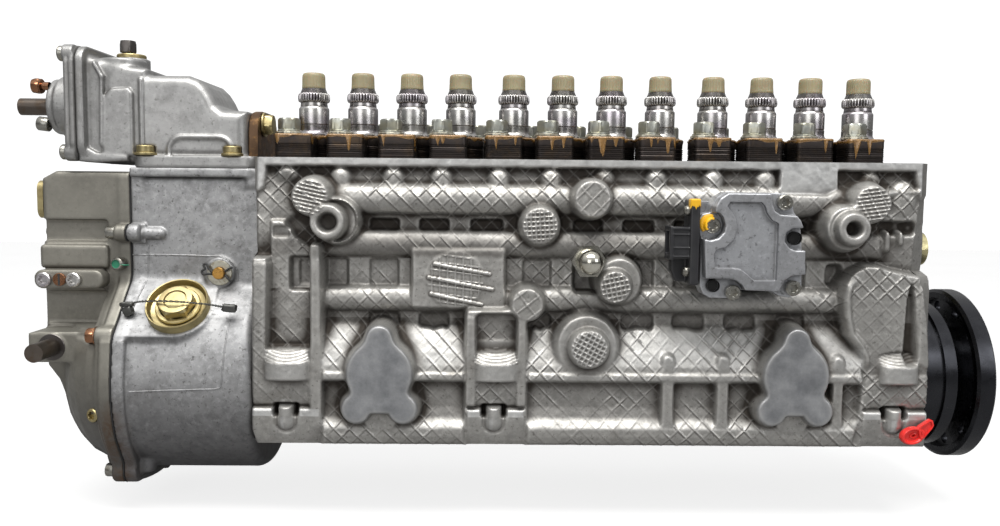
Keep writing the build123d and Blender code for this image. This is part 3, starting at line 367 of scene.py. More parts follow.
MAT = {
    "housing": cast_metal("housing_cast", (0.355, 0.347, 0.330), (0.060, 0.052, 0.045), cav=True, speck=0.4, stain=(0.15, 0.13, 0.105)),
    "pad_smooth": cast_metal("smooth_pad", (0.250, 0.255, 0.265), (0.16, 0.16, 0.17), rough=(0.42, 0.6), speck=0.2, bump=0.12, metallic=0.7),
    "governor": cast_metal("governor_cast", (0.365, 0.366, 0.370), (0.07, 0.066, 0.062), rough=(0.5, 0.66), cav=0.75, speck=0.5, bump=0.2, stain=(0.17, 0.16, 0.15), joint=True),
    "cover": cast_metal("cover_cast", (0.240, 0.230, 0.201), (0.08, 0.07, 0.06), rough=(0.42, 0.6), cav=0.7, speck=0.18, bump=0.16, metallic=0.75, joint=True),
    "actuator": cast_metal("actuator_cast", (0.345, 0.343, 0.338), (0.07, 0.065, 0.06), rough=(0.36, 0.54), cav=0.7, speck=0.3, bump=0.2, stain=(0.2, 0.185, 0.165)),
    "gasket": plastic("gasket_dark", (0.03, 0.03, 0.03), (0.6, 0.8)),
    "steel": plain_metal("steel_ground", (0.350, 0.350, 0.350), (0.2, 0.36)),
    "dark_steel": plain_metal("steel_dark", (0.12, 0.11, 0.105), (0.28, 0.45)),
    "black": plain_metal("black_oxide", (0.040, 0.041, 0.046), (0.2, 0.34), scale=40, bump=0.03),
    "ear": plain_metal("ear_black", (0.042, 0.036, 0.034), (0.36, 0.55), dirt=(0.10, 0.065, 0.035), dirt_amount=0.4, scale=45, bump=0.3),
    "holder": plain_metal("holder_zinc", (0.58, 0.57, 0.55), (0.2, 0.34), tint=(0.46, 0.42, 0.47), scale=40, dirt=(0.26, 0.22, 0.15), dirt_amount=0.25, cav=(0.05, 0.042, 0.034)),
    "bolt": plain_metal("bolt_zinc", (0.44, 0.45, 0.41), (0.3, 0.44), tint=(0.42, 0.40, 0.30), dirt=(0.26, 0.2, 0.11), dirt_amount=0.25, scale=110),
    "gold": plain_metal("gold_zinc", (0.430, 0.362, 0.190), (0.36, 0.5), dirt=(0.22, 0.16, 0.07), dirt_amount=0.6, scale=60, bump=0.03),
    "brass": plain_metal("plug_zinc", (0.615, 0.555, 0.315), (0.22, 0.4), dirt=(0.32, 0.27, 0.15), dirt_amount=0.35),
    "cap": plastic("cap_plastic", (0.275, 0.235, 0.140), (0.25, 0.4), sss=0.25),
    "red": plastic("red_plastic", (0.72, 0.03, 0.025), (0.2, 0.35)),
    "black_plastic": plastic("black_plastic", (0.018, 0.018, 0.02), (0.3, 0.5)),
    "sensor": cast_metal("sensor_cast", (0.430, 0.438, 0.458), (0.055, 0.052, 0.05), rough=(0.34, 0.5), cav=0.8, speck=0.42, bump=0.1, metallic=0.8),
    "screw": plain_metal("screw_zinc", (0.336, 0.330, 0.300), (0.22, 0.4), dirt=(0.16, 0.12, 0.07), dirt_amount=0.5, scale=200),
    "brown": plain_metal("brown_iron", (0.11, 0.068, 0.042), (0.4, 0.6), dirt=(0.36, 0.2, 0.08), dirt_amount=0.6, bump=0.4),
    "shaft": plain_metal("shaft_bare", (0.13, 0.11, 0.095), (0.3, 0.5), dirt=(0.10, 0.06, 0.03), dirt_amount=0.6),
    "ball": plain_metal("ball_plated", (0.576, 0.560, 0.496), (0.1, 0.2), dirt=(0.28, 0.24, 0.15), dirt_amount=0.4),
    "copper": plain_metal("copper_brown", (0.30, 0.15, 0.085), (0.2, 0.34), dirt=(0.10, 0.05, 0.03), dirt_amount=0.5),
    "paint": plastic("paint_yellow", (0.78, 0.42, 0.01), (0.35, 0.5)),
    "green": plastic("paint_green", (0.02, 0.18, 0.10), (0.35, 0.5)),
    "lead": plain_metal("seal_lead", (0.10, 0.10, 0.095), (0.4, 0.6), bump=0.5),
}

MAT["washer"] = plain_metal("washer_zinc", (0.52, 0.50, 0.42), (0.26, 0.4), dirt=(0.22, 0.14, 0.06), dirt_amount=0.7, scale=150)

NODE_MAT = {
    "pump_housing": "housing", "governor_housing": "governor", "governor_cover": "cover", "governor_gasket": "gasket",
    "compensator_housing": "actuator", "compensator_cover": "actuator", "drive_flange": "black", "drive_nut": "dark_steel",
    "barrel_flanges": "ear", "delivery_valve_holders": "holder", "protective_caps": "cap", "flange_bolts": "bolt",
    "flange_washers": "gold", "rack_end_plug": "brass", "ball_head_fitting": "ball", "sensor_cover": "sensor",
    "sensor_screws": "screw", "sensor_plate": "sensor", "sensor_connector": "black_plastic", "red_plug": "red",
    "cover_screws": "screw", "stop_block_screws": "screw", "inspection_plate": "gold", "plug_cup": "gold",
    "governor_plug": "gold", "fulcrum_pin": "gold", "control_lever_shaft": "shaft", "compensator_cap": "gold",
    "compensator_screws": "gold", "stop_shaft": "shaft", "stop_screws": "brown", "bleed_screw": "dark_steel",
    "end_bracket": "brown", "seal_wire": "lead",
}
for node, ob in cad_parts.items():
    ob.data.materials.clear()
    ob.data.materials.append(MAT[NODE_MAT.get(node, "steel")])


# ============================================================== pump housing
def net(X, Z, pitch, ox, oz, width=0.42, weights=(1, 1)):
    """Fine raised lines at 45 degrees both ways, 0 to 1."""
    q = 1 / math.sqrt(2)
    out = np.zeros(X.shape)
    for s, k in zip((1, -1), weights):
        u = ((X - ox) + s * (Z - oz)) * q
        d = np.abs(u - np.round(u / pitch) * pitch)
        out = np.maximum(out, k * np.exp(-(d / width) ** 2))
    return out


def pad_grid(X, Z, cx, cz, r, ang, p1, p2, w=0.4):
    a = math.radians(ang)
    u = (X - cx) * math.cos(a) + (Z - cz) * math.sin(a)
    v = -(X - cx) * math.sin(a) + (Z - cz) * math.cos(a)
    out = np.zeros(X.shape)
    if p1:
        d = np.abs(v - np.round(v / p1) * p1)
        out = np.maximum(out, np.exp(-(d / w) ** 2))
    if p2:
        d = np.abs(u - np.round(u / p2) * p2)
        out = np.maximum(out, np.exp(-(d / w) ** 2))
    return out * mask(circ(X, Z, cx, cz, r - 1.6), 0.6)


def lobed_pad(X, Z, cx):
    d = circ(X, Z, cx, 9.8, 21.6)
    d = smin(d, rbox(X, Z, cx - 8.6, cx + 8.6, 10, 41.6, 8.5), 6.0)
    d = smin(d, circ(X, Z, cx - 15.2, -13.4, 9.6), 5.0)
    d = smin(d, circ(X, Z, cx + 15.2, -13.4, 9.6), 5.0)
    return np.minimum(d, rbox(X, Z, cx - 9, cx + 9, -16.4, 4, 1.5))


def side_heights(X, Z, front=True):
    """How far the cast side stands out from the mid-plane at each X, Z."""
    z1 = Z + 0.25 * lattice_noise(X, Z, 9.0, 3)

    def tube(zc, r, base, lift):
        return base + lift * np.sqrt(np.clip(1 - ((z1 - zc) / r) ** 2, 0, 1))

    H = np.interp(z1, [-39, -37, -33, -27.5, -25, -21, -14, 0.0, 2.6, 4.2, 5.6, 9.0, 10.2, 14, 22, 30, 36, 39.5, 41, 48.5, 66, 85, 103, 113.4, 134.5, 137.5, 144.6, 145.2, 150.5],
                  [62.5, 64.8, 66.2, 66.0, 64.2, 61.0, 59.2, 59.2, 60.2, 65.2, 66.8, 66.8, 65.2, 64.6, 61.2, 56.8, 53.2, 50.9, 49.4, 49.0, 49.4, 50.2, 47.8, 47.6, 49.2, 49.4, 47.6, 54, 54])
    H = np.maximum(H, np.where(np.abs(z1 - 124) < 10.4, tube(124, 10.4, 48, 10.2), 0))
    H = np.maximum(H, np.where(np.abs(z1 - 94.1) < 8.7, tube(94.1, 8.7, 48.5, 8.6), 0))
    H = np.maximum(H, np.where(np.abs(z1 - 57.5) < 8.5, tube(57.5, 8.5, 49, 8.2), 0))
    netted = np.ones(X.shape)
    smoothm = np.zeros(X.shape)
    fineh = np.zeros(X.shape)
    # painted highlights on the upward-facing slope over the feet, on the ledge below it and on the bottom roll;
    # machined faces are marked lighter in the same channel further on
    machined_and_painted_highlight = 0.5 * sstep(9, 18, Z) * (1 - sstep(33, 42, Z)) + 0.12 * sstep(-31, -27, Z) * (1 - sstep(-22, -18, Z)) + 0.30 * sstep(2, 4.5, Z) * (1 - sstep(7.5, 9, Z))
    machined_and_painted_highlight = machined_and_painted_highlight * (0.75 + 0.25 * lattice_noise(X, Z, 9.0, 91))
    soft = 0.6 * (Z > 64) * (Z < 84) * np.ones(X.shape) + 0.35 * (Z > 44) * (Z < 62)

    def put(d, h, w=1.6, net_on=0.0, hard=False):
        nonlocal H, netted
        m = mask(d, w)
        H = np.where(m > 0, H * (1 - m) + h * m, H)
        netted = netted * (1 - m) + net_on * m

    def lift(d, h, w=1.6, net_on=1.0):
        nonlocal H, netted
        m = mask(d, w)
        H = np.maximum(H, H * (1 - m) + h * m)
        netted = np.where(m > 0.5, net_on, netted)

    # rounded bolt bosses in the recess under the deck
    for k, e in enumerate(ELEMENT_X):
        bx = e - 11.0 + (3.0 if k < 3 else 0.0)
        dx = (X - bx) / 8.6
        hb = 45.0 + 9.4 * np.sqrt(np.clip(1 - dx ** 2 - (np.clip(Z - 138.0, 0, 9) / 8.6) ** 2, 0, 1))
        H = np.where((Z > 124) & (Z < 145), smax(H, np.where(hb > 45.01, hb, 0), 1.6), H)
    # dark pockets between tube 1 and tube 2, windows between 2 and 3, small ones under 3
    mids = [(-421.1, -402.2), (-387.8, -368.9), (-353.6, -332.7), (-318.5, -300.0), (-284.5, -265.8), (-251.3, -231.0), (-216.6, -196.5), (-181.5, -162.0), (-146.0, -128.5)]
    for x0, x1 in mids:
        put(rbox(X, Z, x0 + 0.6, x1 - 0.6, 103.6, 109.8, 1.4), 42.5, 1.4, 0.7)
    for x0, x1 in [(-451.7, -436.0)] + mids:
        put(rbox(X, Z, x0 + 0.6, x1 - 0.6, 66.0, 83.4, 1.2), 46.8, 1.2, 1.0)
    for x0, x1 in mids:
        wn2 = rbox(X, Z, x0 + 0.4, x1 - 0.4, 38.8 + 0.9 * lattice_noise(X, Z * 0, 3.1, 71), 46.6, 1.8)
        put(wn2, 46.6, 1.8, 0.9)
        soft = np.maximum(soft, 0.35 * mask(wn2, 1.0))
    put(rbox(X, Z, -283.6, -265.0, 63.5, 80.5, 2.0), 41.5, 1.6, 0.4)
    put(rbox(X, Z, -113.0, -104.6, 69.0, 81.0, 2.0), 42.0, 1.6, 0.4)
    # lower pockets' ribs
    for x0, x1 in ((-225.6, -218.9), (-189.1, -182.4), (-112.0, -106.0)):
        lift(rbox(X, Z, x0, x1, -28, 5, 1.0), 65.4, 2.2, 0.25)
        lift(rbox(X, Z, x0 + 0.6, x1 - 0.6, 5, 21, 2.5), 65.6, 3.0, 0.2)
    # wedge fades of the left and right ends
    put(rbox(X, Z, HOUSING_L - 9, -470.0, 78, 134, 6), 50.0 + 2.0 * lattice_noise(X, Z, 17, 7), 9.0, 1.0)
    put(rbox(X, Z, -474, -455, 84, 110, 4), 47.5, 4.0, 1.0)
    put(rbox(X, Z, -76.0, HOUSING_R + 9, 84, 126, 6), 51.5 + 1.5 * lattice_noise(X, Z, 15, 8), 7.0, 1.0)

    def foot_column(cx, xl, xr, zt, kind):
        nonlocal H, netted, machined_and_painted_highlight, fineh
        machined_and_painted_highlight = machined_and_painted_highlight * (1 - mask(rbox(X, Z, xl, xr, -45, zt, 1.0), 1.0))
        hw = 12.9 if kind == "R" else 14.4
        # lower block under the milled seat, netted and drawn in towards its foot
        put(rbox(X, Z, xl, xr, -45, 20, 1.5), 63.2, 2.2, 1.0)
        belly = rbox(X, Z, xl + 2.0, xr - 2.0, -13.0, 9.0, 6.0)
        bm = mask(belly, 1.2)
        H = H * (1 - bm) + (60.6 + 3.4 * np.sqrt(np.clip(1 - (np.clip(-1.0 - Z, 0, 12.5) / 12.6) ** 2, 0, 1))) * bm
        under = rbox(X, Z, xl + 1.0, xr - 1.0, -15.0, -13.6, 0.5)
        put(under, 60.2, 0.9, 0.0)
        seat = mask(rbox(X, Z, cx - hw, cx + hw, 4.6, 16.6, 1.2), 1.1)
        dxs = (X - cx) / (hw + 0.5)
        bow = np.sqrt(np.clip(1 - dxs ** 2, 0, 1))
        H = H * (1 - seat) + (63.0 + 7.6 * bow) * seat
        netted = netted * (1 - seat)
        # painted highlight across the middle of the curved seat
        machined_and_painted_highlight = np.maximum(machined_and_painted_highlight, 0.45 * seat * bow)
        # milled floor of the seat with the marks of the cutter
        top = 16.4 + 8.8 * np.sqrt(np.clip(1 - 0.55 * dxs ** 2, 0, 1))
        inseat = (np.abs(X - cx) < hw) & (Z > 15.4 + 1.6 * (1 - bow)) & (Z < top)
        sc = np.clip((Z - 16.0) / 8.8, 0, 1)
        prof = 63.0 + 7.6 * bow - (7.6 * bow + 2.4) * sc ** 0.8
        ringd = np.hypot((X - cx) * 0.55, (Z - 31.0))
        H = np.where(inseat, prof, H)
        fineh = np.where(inseat, 0.20 + 0.20 * np.sin(ringd * 3.6), fineh)
        netted = np.where(inseat, 0, netted)
        machined_and_painted_highlight = np.where(inseat, 0.15, machined_and_painted_highlight)
        # machined strip and smooth foot
        strip = rbox(X, Z, xl + 1.0, xr - 1.0, -20.0, -15.3, 0.4)
        put(strip, 64.4, 0.6, 0.0)
        machined_and_painted_highlight = np.maximum(machined_and_painted_highlight, 0.9 * mask(strip, 0.3))
        fz = np.clip((Z + 39.0) / 19.0, 0, 1)
        foot = mask(rbox(X, Z, xl + 0.6, xr - 0.6, -46, -20.2, 1.0), 0.7)
        hf = 61.6 + 2.9 * np.sin(np.clip(fz, 0, 1) * math.pi * 0.55)
        H = H * (1 - foot) + hf * foot
        netted = netted * (1 - foot)
        machined_and_painted_highlight = np.maximum(machined_and_painted_highlight, 0.05 * foot)
        # square relief over the foot bolt and its round shank
        gx0 = cx - 1.2
        g = rbox(X, Z, gx0 - 7.6, gx0 + 7.6, -19.6, -12.6, 0.8)
        put(g, 54.5, 0.8, 0.0)
        machined_and_painted_highlight = machined_and_painted_highlight * (1 - mask(g, 0.6))
        gg = capsule(X, Z, gx0, -14.0, gx0, -24.0, 5.6)
        shank = (gg < 0)
        H = np.where(shank & (Z < -19.0), np.maximum(H, 61.6 + 6.4 * np.sqrt(np.clip(-gg / 5.6, 0, 1))), H)
        H = H - 1.8 * np.exp(-((gg - 0.9) / 1.0) ** 2) * (Z < -19.5)
        up = (np.abs(X - gx0) < 5.4) & (Z > -20.0) & (Z < -13.0)
        H = np.where(up, 60.4 + 7.4 * np.sqrt(np.clip(1 - ((X - gx0) / 5.5) ** 2, 0, 1)), H)
        # painted highlight on the shank and the relief over it, brightest in a narrow streak left of the shank's
        # centre
        machined_and_painted_highlight = np.where(shank & (np.abs(X - gx0) < 4.6), 0.45, machined_and_painted_highlight)
        machined_and_painted_highlight = np.where((gg < -0.8) & (np.abs(X - gx0 + 1.6) < 1.1), 1.0, machined_and_painted_highlight)
        machined_and_painted_highlight = np.where(up, 0.35, machined_and_painted_highlight)

    # left column
    put(rbox(X, Z, HOUSING_L - 5, -452.1, 18, 84, 1.5), 62.5, 2.2, 1.0)
    foot_column(-474.2, HOUSING_L - 5, -452.1, 103, "L")
    put(poly(X, Z, [(-485.6, 108), (-485.8, 78), (-487.3, 25.5), (-460.0, 25.5), (-458.8, 62), (-458.8, 90), (-470, 97), (-478, 108)]), 54.0, 1.8, 1.0)
    put(rbox(X, Z, -472.8, -459.6, 63.6, 84.2, 1.2), 48.6, 1.6, 1.0)
    put(rbox(X, Z, -467.8, -460.6, 66.6, 82.0, 0.8), 47.0, 0.9, 1.0)
    lift(rbox(X, Z, -458.2, -452.3, -27, 93.5, 1.5), 65.0, 2.4, 0.0)
    lift(poly(X, Z, [(HOUSING_L - 5, 80), (-487.5, 80), (-489.3, 24), (-489.3, 4), (HOUSING_L - 5, 4)]), 63.8, 3.0, 0.55)
    put(rbox(X, Z, -484.5, -474.5, 98.5, 104.5, 1.0), 51.5, 1.0, 0.3)
    # middle column
    put(rbox(X, Z, -355.9, -316.9, -45, 51.2, 3.4), 65.0, 2.6, 0.0)
    foot_column(-336.4, -355.9, -316.9, 51, "M")
    put(rbox(X, Z, -349.0, -323.2, 26.0, 47.6, 3.2), 57.6, 1.8, 1.0)
    put(rbox(X, Z, -349.0, -323.2, 24.0, 30.0, 0.6), 58.6, 1.4, 0.0)
    lift(rbox(X, Z, -355.7, -350.4, -12, 46, 1.2), 65.6, 1.6, 0.0)
    lift(rbox(X, Z, -322.0, -317.1, -12, 46, 1.2), 65.6, 1.6, 0.0)
    # right column
    rc = [(HOUSING_R + 6, 72), (-74, 78.5), (-84, 81.6), (-92, 81.8), (-100, 77.5), (-105.6, 70), (-106.8, 62), (-105.6, 48), (-102.8, 36),
          (-96, 27.5), (-92.6, 21), (-91.6, 8), (-91.8, -8), (-93.6, -24), (-96.4, -33), (-97, -45), (HOUSING_R + 6, -45)]
    put(poly(X, Z, rc), 63.0, 2.4, 1.0)
    foot_column(-68.9, -91.4, HOUSING_R + 6, 80, "R")
    d = poly(X, Z, rc)
    edge = np.exp(-((d + 2.6) / 1.9) ** 2) * sstep(14, 20, Z) * (1 - sstep(66, 76, Z)) * (X < -84)
    H = np.maximum(H, H + 2.4 * edge)
    netted = netted * (1 - 0.9 * edge)
    gx = -61.3 - 0.4 * (Z - 25) / 44
    gw = np.interp(Z, [16, 25, 60, 71], [4.6, 4.4, 2.6, 0.3])
    gr = (np.abs(X - gx) < gw) & (Z > 17) & (Z < 71)
    H = np.where(gr, H - 5.5 * np.sqrt(np.clip(1 - ((X - gx) / gw) ** 2, 0, 1)), H)
    netted = np.where(gr, 0, netted)
    lift(poly(X, Z, [(-55.0, 68), (HOUSING_R + 5, 68), (HOUSING_R + 5, 14), (-55.6, 18)]), 64.6, 2.0, 0.6)
    # swelling, broken hollows and short ribs beside the right-hand pads
    bu = np.hypot((X + 65.0) / 10.5, (Z - 126.0) / 13.0)
    H = np.where(bu < 1, np.maximum(H, 49.0 + 5.8 * np.sqrt(np.clip(1 - bu ** 2, 0, 1))), H)
    netted = np.where(bu < 0.97, 1.0, netted)
    put(rbox(X, Z, -79.0, -56.5, 103.6, 110.6, 2.5), 46.2 + 1.6 * lattice_noise(X, Z, 4.5, 61), 2.0, 0.2)
    lift(rbox(X, Z, -77.2, -74.8, 92.5, 104.5, 1.0), 56.0, 2.0, 0.0)
    lift(rbox(X, Z, -67.8, -65.8, 96.5, 104.5, 0.9), 55.6, 1.8, 0.0)
    machined_and_painted_highlight = machined_and_painted_highlight * (1 - mask(poly(X, Z, rc), 1.0)) + machined_and_painted_highlight * mask(poly(X, Z, rc), 1.0) * (Z < 27)

    # name-plate pad, left bare
    put(rbox(X, Z, -391.9, -331.6, 52.8, 90.2, 1.0), 58.4, 2.2, 0.0)
    disc = circ(X, Z, -363.6, 70.6, 19.0)
    put(np.maximum(disc, -(X + 385)), 59.0, 0.8, 0.0)
    fine = np.maximum(np.exp(-((X + 363.6 - np.round((X + 363.6) / 5.2) * 5.2) / 0.38) ** 2), np.exp(-(((Z - 70.6) + 0.12 * (X + 363.6) - np.round(((Z - 70.6) + 0.12 * (X + 363.6)) / 5.2) * 5.2) / 0.38) ** 2))
    fineh = fineh + 0.5 * fine * mask(disc + 1.0, 0.8)
    for k, (xa, za, xb, zb) in enumerate(((-377.5, 81.2, -341.0, 74.8), (-381.5, 72.2, -339.0, 64.6), (-380.0, 61.4, -346.0, 54.4))):
        rr = capsule(X, Z, xa, za, xb, zb, 0.55)
        fineh = fineh + 1.2 * (1 - sstep(0, 0.8, rr))

    # round cast pads, ports, plug hole
    def pad(cx, cz, r, h, base=1.8, skew=(0.0, 0.0), rr=0.0):
        nonlocal H, netted
        dd = circ(X, Z, cx, cz, r)
        dbase = circ(X, Z, cx + skew[0], cz + skew[1], r + base * 0.45 + rr)
        m0 = mask(dbase, base)
        H = np.maximum(H, H * (1 - m0) + (h - 7.0) * m0)
        m = mask(dd, 1.0)
        H = H * (1 - m) + h * m
        H = H - 0.5 * np.exp(-((dd + 0.2) / 0.5) ** 2)
        netted = netted * (1 - mask(dbase, base))

    if front:
        pad(-457.4, 124.6, 12.3, 68.0, 1.8, (0.6, 0.4))
        pad(-446.0, 108.6, 11.6, 72.0, 3.0, (4.6, 0.6), 1.0)
        low = np.maximum(circ(X, Z, -441.4, 109.2, 13.0), -circ(X, Z, -446.0, 108.6, 12.4))
        H = H - 4.0 * mask(low, 1.0)
        pad(-308.4, 107.1, 12.3, 68.0, 2.0)
        pad(-274.4, 124.7, 12.3, 68.0, 1.8)
        pad(-316.0, 55.2, 10.9, 66.0, 2.0)
        pad(-259.1, 67.8, 10.9, 70.0, 3.6, (3.5, 3.5), 1.6)
        pad(-275.5, 27.0, 12.8, 72.0, 5.0, (-0.8, 1.8), 3.6)
        pad(-92.5, 123.5, 12.2, 70.0, 2.4)
        pad(-107.1, 107.3, 10.6, 78.0, 4.0, (-1.5, 0.0), 1.2)
        fineh = fineh + 0.73 * pad_grid(X, Z, -457.4, 124.6, 12.5, -12, 2.5, 0)
        fineh = fineh + 0.53 * pad_grid(X, Z, -457.4, 124.6, 12.5, -32, 8.0, 0)
        fineh = fineh + 0.73 * pad_grid(X, Z, -308.4, 107.1, 12.5, 4, 2.9, 2.9)
        fineh = fineh + 0.53 * pad_grid(X, Z, -274.4, 124.7, 12.5, 45, 7.6, 9.4)
        fineh = fineh + 0.53 * pad_grid(X, Z, -316.0, 55.2, 11.3, 38, 8.0, 9.0)
        fineh = fineh + 0.73 * pad_grid(X, Z, -259.1, 67.8, 11.3, 12, 3.1, 3.1)
        fineh = fineh + 0.73 * pad_grid(X, Z, -275.5, 27.0, 13.0, -28, 3.1, 3.1)
        fineh = fineh + 0.73 * pad_grid(X, Z, -92.5, 123.5, 12.6, 8, 2.5, 0)
        fineh = fineh + 0.53 * pad_grid(X, Z, -92.5, 123.5, 12.6, 30, 0, 7.0)
        c = circ(X, Z, -316.0, 55.0, 2.0)
        H = H + 1.0 * np.clip(-c / 2.0, 0, 1) + 0.4 * np.exp(-((c - 1.2) / 0.4) ** 2)
        for cx, cz, r, dep, h in ((-446.0, 108.6, 7.4, 9.0, 72.0), (-107.1, 107.3, 6.2, 11.0, 78.0)):
            dd = circ(X, Z, cx, cz, r)
            step = np.clip((0.0 - dd) / 0.9, 0, 1) * 1.2 + np.clip((-dd - 1.4) / 0.8, 0, 1) * (dep - 1.2)
            H = H - step + 0.22 * np.sin(np.clip(-dd, 0, 9) * 7) * (dd < -1.2) * (dd > -3)
            netted = np.where(dd < 1, 0, netted)
    else:
        for cx, cz in ((-430, 118), (-300, 112), (-210, 70), (-120, 118)):
            pad(cx, cz, 12.3, 68.0, 3.0)
            fineh = fineh + 0.73 * pad_grid(X, Z, cx, cz, 12.5, 8, 2.9, 2.9)
        put(rbox(X, Z, -262, -168, 84, 128, 4), 58.0, 2.4, 0.0)
    # lobed smooth pads
    lob = np.minimum(lobed_pad(X, Z, -412.5), lobed_pad(X, Z, -139.5))
    m0 = mask(lob - 0.4, 3.2)
    H = np.maximum(H, H * (1 - m0) + 68.0 * m0)
    netted = netted * (1 - m0)
    for cx in (-412.5, -139.5):
        nt = rbox(X, Z, cx - 9.5, cx + 9.5, -27.5, -16.2, 5.0)
        put(nt, 66.5, 2.6, 0.0)
        soft = np.maximum(soft, 0.75 * mask(nt, 1.2))
    m = mask(lob, 0.9)
    H = H * (1 - m) + 73.0 * m
    smoothm = np.maximum(smoothm, m)
    machined_and_painted_highlight = machined_and_painted_highlight * (1 - m)
    # flat machined blank on the deck band
    if front:
        fp = poly(X, Z, [(-148.5, 151), (-148.3, 129.6), (-118, 129.0), (-110.0, 133.2), (-110.1, 151)])
        put(fp, 54.0, 0.9, 0.0)
        machined_and_painted_highlight = np.maximum(machined_and_painted_highlight, mask(fp, 0.4))
    # deck band with a ragged lower edge
    rag = 145.3 + 0.35 * lattice_noise(X, Z * 0, 4.0, 11) + 0.35 * lattice_noise(X, Z * 0, 1.7, 12)
    side_l = poly(X, Z, [(HOUSING_L - 4, 151), (-488.8, 151), (-488.9, 142), (-490.6, 130.5), (-494.0, 128.3), (HOUSING_L - 4, 128.2)])
    side_r = poly(X, Z, [(-58.0, 151), (HOUSING_R + 4, 151), (HOUSING_R + 4, 128), (-54.0, 128), (-57.8, 142)])
    band = np.minimum(np.minimum(rag - Z, side_l), side_r)
    mb = 1 - sstep(-0.3, 0.5, band)
    H = H * (1 - mb) + 54.0 * mb
    netted = netted * (1 - mb)
    machined_and_painted_highlight = np.maximum(machined_and_painted_highlight, 0.8 * mb)
    # ring port and the round pads stand over the band edge, so nothing here is cut by it
    return H, netted, smoothm, fineh, np.clip(machined_and_painted_highlight, 0, 1), np.clip(soft, 0, 1)


def housing_side(name, step, front):
    sgn = -1.0 if front else 1.0
    nx, nz = int(round((HOUSING_R - HOUSING_L) / step)) + 1, int(round((DECK_Z - BASE_Z) / step)) + 1
    z = np.linspace(BASE_Z, DECK_Z, nz)
    xl = np.interp(z, [-39, -30, 120, 150.5], [-495.6, -497.9, -496.2, -495.3])
    xr = np.interp(z, [-39, 20, 45, 60, 75, 88, 108, 125, 150.5], [-47.6, -48.4, -50.6, -53.2, -55.6, -56.4, -54.6, -52.9, -52.9])
    t = np.linspace(0, 1, nx)
    X = xl[None, :] + (xr - xl)[None, :] * t[:, None]
    Z = np.broadcast_to(z[None, :], X.shape).copy()
    H, netted, smoothm, fineh, machined_and_painted_highlight, soft = side_heights(X, Z, front)
    H = blur(H, 0.62 / step)
    base = blur(H, 4.2 / step)
    wide = blur(H, 9.0 / step)
    # painted shade: darker where the surface lies below its blurred surroundings, less in the soft zones, plus a
    # painted shadow band over the middle tube
    cav = np.clip((base - H) / 2.6, 0, 1) * 0.75 + np.clip((wide - H) / 6.0, 0, 1) * 0.45
    cav = cav * (1 - soft)
    cav = cav + 0.55 * sstep(84, 88, Z) * (1 - sstep(99, 104, Z)) * (0.7 + 0.5 * lattice_noise(X, Z, 21, 93))
    # painted highlight on convex edges
    edge = np.clip((H - blur(H, 1.6 / step)) / 0.7, 0, 1)
    # cast grain and the raised net
    H = H + 0.10 * lattice_noise(X, Z, 2.3, 21) * (1 - smoothm) + 0.16 * lattice_noise(X, Z, 6.5, 22) * (1 - smoothm)
    upper = sstep(44, 50, Z)
    wob = 0.35 * lattice_noise(X, Z, 13, 31)
    fade = 0.3 + 0.7 * sstep(-0.35, 0.25, lattice_noise(X, Z, 23, 41))
    faded = 0.3 + 0.7 * sstep(-0.2, 0.4, lattice_noise(X, Z, 19, 43))

    def both(dx, dz, w):
        a = net(X + wob + dx, Z + dz, 7.7, -416.0, 87.0, w, (fade, fade * faded))
        b = net(X + wob + dx, Z + dz, 7.7, -242.1, -11.3, w, (fade, fade * faded))
        return (a * upper + b * (1 - upper)) * netted
    nn = both(0, 0, 0.42)
    # painted shade just below each net line, over a slight groove, and between the fine raised lines; painted
    # highlights on the net lines and fine ridges
    foot = np.clip(both(0.0, 1.05, 0.5) - nn, 0, 1)
    H = H + 0.75 * nn - 0.25 * foot
    H = H + fineh
    fl = np.clip(fineh / 0.8, 0, 1)
    fd = np.clip((blur(fineh, 0.9 / step) - fineh) / 0.22, 0, 1) * (fineh < 0.25)
    edge = np.maximum(np.maximum(edge * 0.45, nn * 0.5), fl * 0.7)
    cav = np.maximum(np.maximum(cav, 0.75 * foot), 0.75 * fd)
    # soft rounding at the two ends
    ex = np.minimum(X - xl[None, :], xr[None, :] - X)
    H = H - 2.2 * (1 - np.sqrt(np.clip(1 - (1 - np.clip(ex / 2.2, 0, 1)) ** 2, 0, 1)))
    V = np.stack([X, sgn * H, Z], axis=-1).reshape(-1, 3)
    idx = np.arange(nx * nz).reshape(nx, nz)
    a, b, c, d = idx[:-1, :-1], idx[1:, :-1], idx[1:, 1:], idx[:-1, 1:]
    F = np.stack([a, b, c, d] if front else [a, d, c, b], axis=-1).reshape(-1, 4)
    n0 = len(V)
    extra, faces = [], [F]
    # top and bottom strips to the mid-plane
    for j, flip in ((nz - 1, False), (0, True)):
        row = idx[:, j]
        e0 = n0 + sum(len(x) for x in extra)
        extra.append(np.stack([X[:, j], np.zeros(nx), Z[:, j]], axis=-1))
        new = e0 + np.arange(nx)
        q = np.stack([row[:-1], row[1:], new[1:], new[:-1]], axis=-1)
        if flip != (not front):
            q = q[:, ::-1]
        faces.append(q)
    ob = mesh_object(name, np.concatenate([V] + extra), np.concatenate(faces), sharp=52)
    set_attr(ob, "cav", np.clip(cav, 0, 1).ravel())
    set_attr(ob, "edge", np.clip(edge, 0, 1).ravel())
    set_attr(ob, "smooth", smoothm.ravel())
    set_attr(ob, "machined_and_painted_highlight", machined_and_painted_highlight.ravel())
    return ob, (z, xl, xr, H)


front, (fz, fxl, fxr, fH) = housing_side("housing_front", 0.6, True)
back, (bz, bxl, bxr, bH) = housing_side("housing_back", 1.2, False)
place(front, MAT["housing"], "pump", "pump_housing", "pump_housing")
place(back, MAT["housing"], "pump", "pump_housing")


